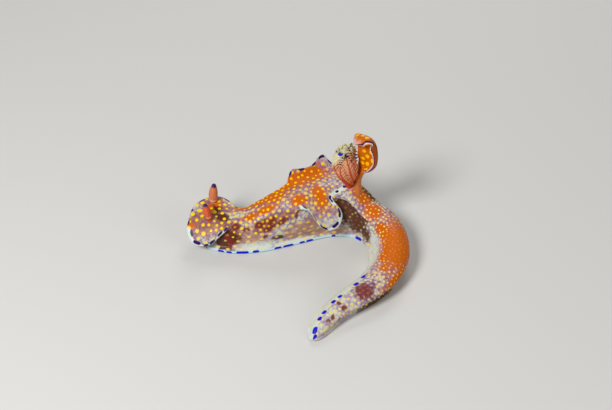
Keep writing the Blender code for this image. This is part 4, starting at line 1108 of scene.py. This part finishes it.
# %% Feelers and mouth
FEELERS = {
    "oral_tentacle_left": ((-23.0, -0.1, 3.0), (-24.4, -0.7, 2.4), (-25.6, -1.2, 1.7)),
    "oral_tentacle_right": ((-23.0, 3.4, 3.1), (-24.4, 4.2, 2.6), (-25.7, 5.1, 2.0)),
}
FEELER_SIZES = (0.75, 0.70, 0.60, 0.30)
FEELER_FLATNESS = 0.8
MOUTH_PATH = ((-23.6, 1.6, 3.6), (-25.4, 1.6, 3.4), (-26.2, 1.6, 3.3))
MOUTH_SIZES = (1.15, 1.25, 0.85)
MOUTH_OVAL = (1.15, 0.95)
# How far in along the slit, and how wide and high it is there, past the lips
SLIT_SHARES = (0, 0.15, 0.45, 1)
SLIT_WIDTHS = (0.74, 0.55, 0.32)
SLIT_HEIGHTS = (0.55, 0.22, 0.12)
LIP_SWELL = 0.12
MOUTH_DEPTH = 0.8
FEELER_PALE = colour(226, 200, 214)
FEELER_TIP = colour(238, 232, 240)
LIP_ROSE = colour(206, 140, 140)
THROAT = colour(120, 52, 58)

mouth_flesh = Finish(
    "mouth_flesh", subsurface_weight=0.3, subsurface_radius=(1.0, 0.4, 0.3), subsurface_scale=0.0005,
    coat_weight=0.4, coat_roughness=0.15,
)
mouth_flesh.ground(FEELER_PALE)
mouth_flesh.lay(mouth_flesh.field("share").step(0.2, 0.8), FEELER_TIP)
mouth_flesh.lay(mouth_flesh.noise(0.5).step(0.5, 0.66) * 0.5, VIOLET)
mouth_flesh.lay(mouth_flesh.field("lip"), LIP_ROSE)
mouth_flesh.lay(mouth_flesh.field("throat"), THROAT)
mouth_flesh.wear(0.38)
mouth_flesh.bump(mouth_flesh.noise(0.3), 0.03, 0.6)

for name, knots in FEELERS.items():
    share = np.linspace(0, 1, 50)
    sizes = read_sizes(FEELER_SIZES, share) * end_rounding(share, 0.86).clip(0.06, 1)
    sizes = sizes * (1 + 0.02 * np.sin(40 * share))
    rings = rod_rings(path_points(knots, share), sizes, sizes * FEELER_FLATNESS, (0.5, -0.86, 0), 32)
    points, faces = tube(rings)
    shares = tube_field(share, rings)
    fields = {"share": shares, "lip": 0 * shares, "throat": 0 * shares}
    add_piece(name, points, faces, mouth_flesh, [name], fields)


def mouth_surface():
    """Rings of the snout out to its lips, then back into the slit, whose rings are wide and low."""
    share = np.linspace(0, 1, 40)
    path, sizes = path_points(MOUTH_PATH, share), read_sizes(MOUTH_SIZES, share)
    broad, deep = MOUTH_OVAL
    outside = rod_rings(path, sizes * broad, sizes * deep, (0, 1, 0), 48)
    way = headings(path)[-1]
    inward = np.linspace(0, 1, 14)
    turn = full_turn(48)
    wide = np.interp(inward, SLIT_SHARES, (sizes[-1] * broad, *SLIT_WIDTHS))
    high = np.interp(inward, SLIT_SHARES, (sizes[-1] * deep, *SLIT_HEIGHTS))
    swell = LIP_SWELL * np.sin(math.pi * np.minimum(inward / 0.4, 1))
    middle = path[-1] + way * (swell - MOUTH_DEPTH * np.maximum(inward - 0.2, 0))[:, None]
    up = np.cross(way, (0, 1, 0))
    inside = (
        middle[:, None, :]
        + np.array([0, 1, 0]) * (wide[:, None] * np.cos(turn))[:, :, None]
        + up * (high[:, None] * np.sin(turn))[:, :, None]
    )
    rings = np.concatenate([outside, inside[1:]])
    return rings, np.concatenate([share, 1 + inward[1:]])


rings, share = mouth_surface()
points, faces = tube(rings)
share = tube_field(share, rings)
fields = {"share": 0.5 * share, "lip": smooth(share, 0.7, 1.0), "throat": smooth(share, 1.25, 1.6)}
add_piece("mouth", points, faces, mouth_flesh, ["mouth"], fields)

# %% [markdown]
# Behind the gills stands the horn, the mark of the genus: a stalk that widens into a hood, cupped over the
# gills. It offers itself to fish in the gills' place. Its hollow face is orange with large yellow dots, and a
# violet line with a white edge runs along its rim.

# %% Horn
HORN_PATH = ((12.2, 6.4, 9.6), (12.2, 6.4, 12.0), (12.3, 6.4, 14.8), (13.3, 6.5, 17.4), (14.5, 6.6, 19.2),
             (15.0, 6.8, 21.2), (14.9, 7.1, 23.4), (14.2, 7.3, 25.2), (12.7, 7.1, 25.8), (11.3, 6.5, 24.8))
HORN_HALF_WIDTH = ((0, 1.25), (0.34, 1.25), (0.42, 1.6), (0.49, 2.3), (0.58, 2.7), (0.68, 2.7), (0.80, 2.6),
                   (0.90, 2.3), (1, 1.1))
HORN_HALF_THICK = ((0, 0.9), (0.40, 0.85), (0.60, 0.95), (0.85, 1.1), (0.93, 1.0), (1, 0.55))
HORN_CUP = ((0, 0), (0.32, 0.1), (0.45, 0.8), (0.65, 1.1), (0.85, 0.7), (1, 0.1))
HORN_TURN = ((0, 5), (0.3, 12), (0.45, 42), (0.6, 56), (1, 56))
HORN_FLARE = 0.35
HORN_AROUND = 96

# Each dot has a share of the horn's length, a share of its half width and a radius
HORN_DOTS = (
    (0.49, 0.30, 0.50), (0.53, -0.15, 0.50), (0.57, 0.45, 0.55), (0.63, 0.05, 0.55), (0.70, 0.35, 0.50),
    (0.47, -0.5, 0.4), (0.60, -0.5, 0.5), (0.70, -0.35, 0.5),
)
CAP_DOTS = ((0.83, 0.45, 0.55), (0.88, 0.0, 0.45), (0.92, 0.45, 0.35), (0.78, -0.2, 0.45), (0.86, -0.5, 0.4))
HORN_SPOTS = ((0.455, -0.75, 0.22), (0.475, -0.35, 0.2))
RIM_INSET = ((0, 0.1), (0.44, 0.1), (0.50, 0.6), (0.60, 0.95), (0.68, 1.3), (0.74, 1.7), (0.78, 1.2),
             (0.81, 0.0), (0.85, -0.5), (0.93, -0.6), (1, -0.5))
RIM_LINE = 0.18
RIM_WHITE = 0.34


def horn_surface():
    """Cupped rings with their half width, thickness and cup from the tables, turning as they rise."""
    ends = 0.96 + 0.04 * np.sin(np.radians(np.linspace(9, 90, 10)))
    share = np.concatenate([np.linspace(0, 0.96, 120), ends])
    turn = np.radians(eased(HORN_TURN, share))
    across = np.column_stack([-np.sin(turn), np.cos(turn), 0 * turn])
    wide, thick = eased(HORN_HALF_WIDTH, share), eased(HORN_HALF_THICK, share)
    end = end_rounding(share, 0.93).clip(0.1, 1)
    flare = 1 + HORN_FLARE * (1 - smooth(share, 0.02, 0.22))
    path, cup = path_points(HORN_PATH, share), eased(HORN_CUP, share) * end
    rings = rod_rings(path, wide * end * flare, thick * end * flare, across, HORN_AROUND, cup)
    return rings, share, wide * end


rings, share, half_width = horn_surface()
angle = full_turn(HORN_AROUND)
face = np.broadcast_to(np.sin(angle), rings.shape[:2])
aside = np.cos(angle) * half_width[:, None]
path_length = lengths_along(path_points(HORN_PATH, np.linspace(0, 1, 60))).max()


def horn_spots(spots, which):
    """Signed distance to the nearest spot on the hollow face, which is 1, or on the back, which is -1."""
    field = np.full(rings.shape[:2], -1.5)
    for spot_share, spot_aside, radius in spots:
        up_gap = (share[:, None] - spot_share) * path_length
        away = np.hypot(up_gap, aside - spot_aside * eased(HORN_HALF_WIDTH, spot_share))
        field = np.maximum(field, np.where(face * which > 0, radius - away, -9.0))
    return field


# From the outermost line of the near edge, how far in on the face; the far edge counts as far away
rim_gap = np.sign(face) * np.hypot(half_width[:, None] * (1 + np.cos(angle)), np.sin(angle))
rim_gap = np.where(aside < 0, rim_gap - eased(RIM_INSET, share)[:, None], 5.0)
horn_fields = {
    "share": share,
    "face": face,
    "dot": np.maximum(horn_spots(HORN_DOTS, 1), horn_spots(CAP_DOTS, -1)),
    "rim": rim_gap,
    "mark": horn_spots(HORN_SPOTS, 1),
}
print("horn", round(float(path_length), 1), "mm long")

# %% [markdown]
# The horn's back is dark brown, and its hollow face and its tip are bright. The rim's lines are bands of one
# number, the distance in from the near edge, frayed a little, since no line on the animal is ruled.

# %% Finish of the horn
HORN_ORANGE = colour(200, 100, 0)
HORN_BACK = colour(92, 38, 6)
HORN_STALK = colour(196, 112, 56)
HORN_YELLOW = colour(246, 186, 0)
HORN_TIP = colour(214, 170, 160)
RIM_VIOLET = colour(78, 18, 70)

horn = Finish(
    "horn_flesh", subsurface_weight=0.12, subsurface_radius=(1.0, 0.4, 0.2), subsurface_scale=0.0004,
    specular_ior_level=0.15, coat_weight=0.1, coat_roughness=0.1,
)
up, facing = horn.field("share"), horn.field("face")
cloud = horn.noise(1.0, 3.0)
cap = up.step(0.76, 0.84)
on_hood = up.step(0.40, 0.44)
rim = horn.field("rim").frayed(cloud, 0.5)
past_violet = rim.step(RIM_LINE - 0.04, RIM_LINE + 0.06)
horn.ground(HORN_BACK)
horn.lay(facing.frayed(cloud, 0.8).step(-0.3, 0.3).most(cap), HORN_ORANGE)
horn.lay(1 - up.frayed(cloud, 0.15).step(0.34, 0.46), HORN_STALK)
horn.lay(horn.field("dot").step(-0.08, 0.08), HORN_YELLOW)
horn.lay(up.frayed(cloud, 0.1).step(0.92, 0.97), HORN_TIP)
behind_rim = (1 - rim.step(-RIM_LINE - 0.2, -RIM_LINE)) * on_hood * (1 - cap) * facing.step(-0.2, 0.2)
horn.lay(behind_rim * 0.7, HORN_BACK)
horn.lay(past_violet * (1 - rim.step(RIM_WHITE, RIM_WHITE + 0.2)) * on_hood * 0.7, WHITE)
horn.lay(rim.step(-RIM_LINE - 0.08, 0.04 - RIM_LINE) * (1 - past_violet) * on_hood, RIM_VIOLET)
horn.lay(horn.field("mark").step(-DASH_BLUR, DASH_BLUR), TIP_VIOLET)
horn.wear(0.28 + cloud * 0.25)
horn.bump(horn.noise(0.3, 3.0), 0.04, 0.6)
points, faces = tube(rings)
horn_fields = {name: tube_field(values, rings) for name, values in horn_fields.items()}
add_piece("horn", points, faces, horn, ["horn"], horn_fields)

# %% [markdown]
# The gills are a tuft of plumes round the vent, open towards the horn. A plume is a soft leaf, hollow on its
# inner side, with a red rib up its back, slanting side ribs, and a ruffled edge fringed with small leaflets.
# Its tip curls over the middle of the tuft. Each leaf is a closed sheet: one grid for its outer face and one
# for its inner, and the same two distances over it, up and aside, give its shape, its ruffles and its paint.

# %% Gills: the leaf of a plume
GILL_CENTRE = (10.1, 6.4)
GILL_FOOT = (0.85, 1.0)
GILL_FOOT_LEVELS = (10.2, 13.6)
PLUME_COUNT = 8
PLUME_TURNS = (66, 318)
PLUME_HEIGHT = 10.4
PLUME_NEAR_LESS = 1.2
PLUME_SUNK = 0.6
PLUME_LEAN = 2.2
LEAN_TURNS_AT = 0.52
PLUME_BULGE = ((0.06, 0.0), (0.62, 0.26), (0.94, 0.54), (0.98, 0.80), (0.60, 0.98), (0.28, 0.93))
TUFT_REACH = {"front": 3.75, "horn": 1.8, "beside": 2.5, "near": 3.1, "far": 3.2}
PLUME_SIZES = (1.0, 0.88, 1.02, 0.84, 1.0, 0.80, 0.97, 0.86)
INNER_TURNS = (30, 105, 165, 220, 290)
INNER_SIZES = (1.04, 1.12, 1.08, 1.15, 1.0)
INNER_REACH = 0.44
LEAF_HALF_WIDTH = ((0, 0.35), (0.2, 0.75), (0.5, 1.25), (0.72, 1.4), (0.88, 1.15), (1, 0.35))
LEAF_BEND = 1.7
LEAF_THICKNESS = 0.10
LEAF_SCALLOP = 0.16
SIDE_RIBS = 12
SIDE_RIB_SLANT = 0.17
SIDE_RIB_RELIEF = 0.06
RUFFLE = 0.42
FRINGE_COUNT = 26
FRINGE_LENGTH = 0.85
FRINGE_WIDTH = 0.19
FRINGE_THICKNESS = 0.05
FRINGE_WAYS = (0.8, 0.55, 0.35)
FRINGE_CURL = 0.4
FRINGE_RINGS = ((0.0, 0.8), (0.4, 1.0), (0.75, 0.7), (1.0, 0.2))


def plume_path(number, share):
    """The middle line of one plume, and its outward and sideways ways: out, up, and in again at its tip."""
    inner = number - PLUME_COUNT
    turn = INNER_TURNS[inner] if inner >= 0 else np.interp(number, (0, PLUME_COUNT - 1), PLUME_TURNS)
    size, reach = (INNER_SIZES[inner], INNER_REACH) if inner >= 0 else (PLUME_SIZES[number], 1.0)
    turn = math.radians(turn)
    out = np.array([math.cos(turn), math.sin(turn), 0.0])
    reach_x = reach * TUFT_REACH["front" if out[0] < 0 else "horn" if out[1] > 0 else "beside"]
    reach_y = reach * TUFT_REACH["far" if out[1] > 0 else "near"]
    nearness = max(0.0, -out[1])
    height = (PLUME_HEIGHT - PLUME_NEAR_LESS * nearness) * size
    knots = []
    for aside, up in PLUME_BULGE:
        lean = PLUME_LEAN * nearness * reach * (LEAN_TURNS_AT - up) * (up > 0)
        knots.append((out[0] * reach_x * aside + lean, out[1] * reach_y * aside, height * up))
    foot = np.array([*GILL_CENTRE, GILL_FOOT_LEVELS[1] - PLUME_SUNK])
    return path_points(foot + np.array(knots), share), out, np.array([-out[1], out[0], 0.0])


def leaf_surface(number, share, aside):
    """Points of a leaf at shares of its way up by places across it, from -1 to 1.

    Across, the leaf follows a circle: its radius times the sine of the angle sideways, and times one less the
    cosine inwards. Side ribs are a cosine of the phase that slants with the distance from the middle.
    """
    path, _, across = plume_path(number, share)
    way = headings(path)
    inward = np.cross(way, across)
    away = np.abs(aside)
    phase = 2 * math.pi * SIDE_RIBS * (share[:, None] - SIDE_RIB_SLANT * away)
    wide = eased(LEAF_HALF_WIDTH, share)[:, None] * (1 + LEAF_SCALLOP * away**4 * np.cos(phase))
    bend = aside * wide / LEAF_BEND
    curl = LEAF_BEND * (1 - np.cos(bend)) - SIDE_RIB_RELIEF * away**0.5 * np.cos(phase)
    curl = curl + RUFFLE * smooth(away, 0.5, 1) * np.sin(phase + number) * smooth(share, 0.25, 0.5)[:, None]
    points = path[:, None, :] + across * (LEAF_BEND * np.sin(bend))[:, :, None]
    return points + inward[:, None, :] * curl[:, :, None], np.cos(phase), inward, way, across


def leaf_shell(number):
    """One leaf as closed rings: its outer face from left to right, then its inner face back again."""
    share = np.concatenate([np.linspace(0, 0.97, 108), [0.985, 1.0]])
    aside = np.linspace(-1, 1, 19)[None, :]
    points, rib, inward, _, _ = leaf_surface(number, share, aside)
    thick = LEAF_THICKNESS * np.sqrt(1 - 0.9 * aside**2)[:, :, None] * inward[:, None, :]
    rings = np.concatenate([points - thick, (points + thick)[:, ::-1]], axis=1)
    spread = np.broadcast_to(np.abs(aside), rib.shape)
    return rings, share, *(np.concatenate([value, value[:, ::-1]], axis=1) for value in (spread, rib))


def fringe(number, hand):
    """Small blades along one edge of a leaf: rings of four corners, thinner to the tip and curled inwards."""
    share = np.linspace(0.24, 0.985, FRINGE_COUNT)
    edge, _, inward, way, across = leaf_surface(number, share, np.array([[0.96 * hand]]))
    sideways, onwards, inwards = FRINGE_WAYS
    out_way = hand * across * sideways + way * onwards + inward * inwards
    out_way = out_way / np.linalg.norm(out_way, axis=1, keepdims=True)
    flat = np.cross(out_way, way)
    flat = flat / np.linalg.norm(flat, axis=1, keepdims=True)
    length = (FRINGE_LENGTH * RANDOM.uniform(0.7, 1.2, FRINGE_COUNT))[:, None]
    rings = []
    for gone, wide in FRINGE_RINGS:
        middle = edge[:, 0] + out_way * length * gone + inward * length * FRINGE_CURL * gone**2
        for sign in (1, -1):
            rings.append(middle + sign * way * FRINGE_WIDTH * wide)
            rings.append(middle + sign * flat * FRINGE_THICKNESS * wide)
    blades = np.stack(rings, axis=1).reshape(FRINGE_COUNT, 4, 4, 3)
    ends = blades[:, (0, -1)].mean(axis=2)
    return np.concatenate([blades.reshape(FRINGE_COUNT, -1, 3), ends], axis=1), share


print("plume", round(float(lengths_along(plume_path(3, np.linspace(0, 1, 50))[0]).max()), 1), "mm long")

# %% [markdown]
# The parts of the tuft are joined into one array, and each brings four numbers: how far up it is, how far
# aside, where the side ribs are, and whether it is the rib up the middle. Plumes that would reach into the
# stalk of the horn are pressed flat before it.

# %% Gills: the tuft
RIB_SIZES = (0.34, 0.10)
RIB_OUT = 0.1
FOOT_SPREAD = 0.3
FOOT_RIDGES = 9
FOOT_RIDGE_RELIEF = 0.06
# Along the height, the farthest that the gills may reach towards the stalk of the horn, and how wide it is
STALK_FRONT = (
    (12.4, 12.6), (13.2, 10.9), (14.8, 10.9), (17.4, 11.7), (19.2, 12.7), (20.4, 13.6), (21.4, 16),
)
STALK_SIDES = (4.4, 8.6)


def leaf_parts(number):
    """The parts of one plume, each with its points, its triangles and its four numbers."""
    rings, share, spread, rib = leaf_shell(number)
    yield *tube(rings), [tube_field(values, rings) for values in (share, spread, rib)] + [0.0]
    share = np.linspace(0, 1, 60)
    path, _, across = plume_path(number, share)
    size = np.interp(share, (0, 1), RIB_SIZES) * end_rounding(share, 0.97).clip(0.2, 1)
    rings = rod_rings(path + np.cross(across, headings(path)) * RIB_OUT, size, size, across, 12)
    yield *tube(rings), [tube_field(share, rings), 0.0, 0.0, 1.0]
    for hand in (-1, 1):
        blades, share = fringe(number, hand)
        each = blades.shape[1]
        faces = tube_faces(4, 4) + each * np.arange(FRINGE_COUNT)[:, None, None]
        yield blades.reshape(-1, 3), faces.reshape(-1, 3), [np.repeat(share, each), 1.0, 0.0, 0.0]


def foot_part():
    """The ridged foot of the tuft, wider at its lower end."""
    share = np.linspace(0, 1, 24)
    path = np.array([(*GILL_CENTRE, z) for z in np.interp(share, (0, 1), GILL_FOOT_LEVELS)])
    size = 1 + FOOT_SPREAD * (1 - smooth(share, 0, 0.5))
    rings = rod_rings(path, GILL_FOOT[0] * size, GILL_FOOT[1] * size, (1, 0, 0), 40)
    ridges = np.broadcast_to(np.cos(FOOT_RIDGES * full_turn(40)), rings.shape[:2])
    rings = path[:, None, :] + (rings - path[:, None, :]) * (1 + FOOT_RIDGE_RELIEF * ridges)[:, :, None]
    return *tube(rings), [0.0, 0.4, tube_field(ridges, rings), 0.0]


gill_parts = [part for number in range(PLUME_COUNT + len(INNER_TURNS)) for part in leaf_parts(number)]
gill_parts.append(foot_part())
counts = [len(points) for points, _, _ in gill_parts]
starts = np.cumsum([0] + counts[:-1])
gill_points = np.concatenate([points for points, _, _ in gill_parts])
gill_faces = np.concatenate([faces + start for (_, faces, _), start in zip(gill_parts, starts)])
gill_up, gill_aside, gill_rib, gill_middle = (
    np.concatenate([np.broadcast_to(numbers[k], count) for (_, _, numbers), count in zip(gill_parts, counts)])
    for k in range(4)
)
before_stalk = (gill_points[:, 1] > STALK_SIDES[0]) & (gill_points[:, 1] < STALK_SIDES[1])
stalk_front = np.where(before_stalk, eased(STALK_FRONT, gill_points[:, 2]), 99.0)
gill_points[:, 0] = np.minimum(gill_points[:, 0], stalk_front)
print("tuft of", len(gill_parts), "parts")

# %% [markdown]
# The plumes are flesh coloured at their feet and cream at the tips that lie to the back. A few dark and blue
# spots sit on the near plumes, each a small ball of space in which the paint turns dark. A spot is given as
# the camera sees it, across and up, and sits on the nearest point of a plume in that line.

# %% Finish of the gills
# Each spot has its place across and up the picture, and its radius: the first is blue
GILL_SPOTS = ((8.2, 21.12, 0.62), (9.7, 20.4, 0.6), (11.5, 21.17, 0.7))
SPOT_LINE = 0.3
CREAM_WAY = (-1.2, 0.84)
CREAM_MIDDLE = 8
CREAM_RANGE = (24.0, 27.6)
GILL_RED = colour(190, 52, 8)
GILL_FLESH = colour(226, 140, 78)
GILL_VEIL = colour(216, 164, 126)
GILL_CREAM = colour(216, 212, 172)

gill_x, gill_y, gill_z = gill_points.T
creamy = smooth(gill_z + CREAM_WAY[1] * gill_y + CREAM_WAY[0] * (gill_x - CREAM_MIDDLE), *CREAM_RANGE)
picture_up = math.sin(tilt) * gill_y + math.cos(tilt) * gill_z
nearness = math.sin(tilt) * gill_z - math.cos(tilt) * gill_y
gill_marks = []
for across, above, radius in GILL_SPOTS:
    in_line = np.hypot(gill_x - across, picture_up - above) < SPOT_LINE
    seen = gill_points[np.argmax(np.where(in_line & (gill_aside < 0.7), nearness, -99))]
    gill_marks.append(radius - np.linalg.norm(gill_points - seen, axis=1))
gill_fields = {"up": gill_up, "aside": gill_aside, "rib": gill_rib, "middle": gill_middle, "cream": creamy,
               "blue": gill_marks[0], "dark": np.maximum(*gill_marks[1:])}

gill = Finish(
    "gill_flesh", subsurface_weight=0.12, subsurface_radius=(1.0, 0.45, 0.3), subsurface_scale=0.0004,
    specular_ior_level=0.15, coat_weight=0.12, coat_roughness=0.1,
)
up, veil = gill.field("up"), gill.noise(1.1)
pale = gill.field("cream").frayed(veil, 1.1)
gill.ground(GILL_FLESH)
gill.lay(up.frayed(veil, 0.6).step(0.30, 0.70), GILL_VEIL)
gill.lay(pale.step(0.1, 0.6), GILL_CREAM)
gill.lay(gill.field("rib").step(0.2, 0.7) * (1 - pale.step(0.2, 0.8) * 0.6) * 0.8, GILL_RED)
edges = gill.field("aside").step(0.80, 0.98) * up.step(0.2, 0.4)
gill.lay(edges * pale.step(0.1, 0.6) * 0.5, GILL_CREAM)
stem = gill.field("middle").most(1 - up.step(0.02, 0.2)) * (1 - pale.step(0.2, 0.7))
gill.lay(stem * 0.9, GILL_RED)
gill.lay(gill.field("dark").step(-0.08, 0.08), TIP_VIOLET)
gill.lay(gill.field("blue").step(-0.08, 0.08), DASH_BLUE)
gill.wear(0.36 + veil * 0.2)
gill.bump(gill.noise(0.25), 0.02, 0.5)
add_piece("gills", gill_points, gill_faces, gill, ["gills"], gill_fields)
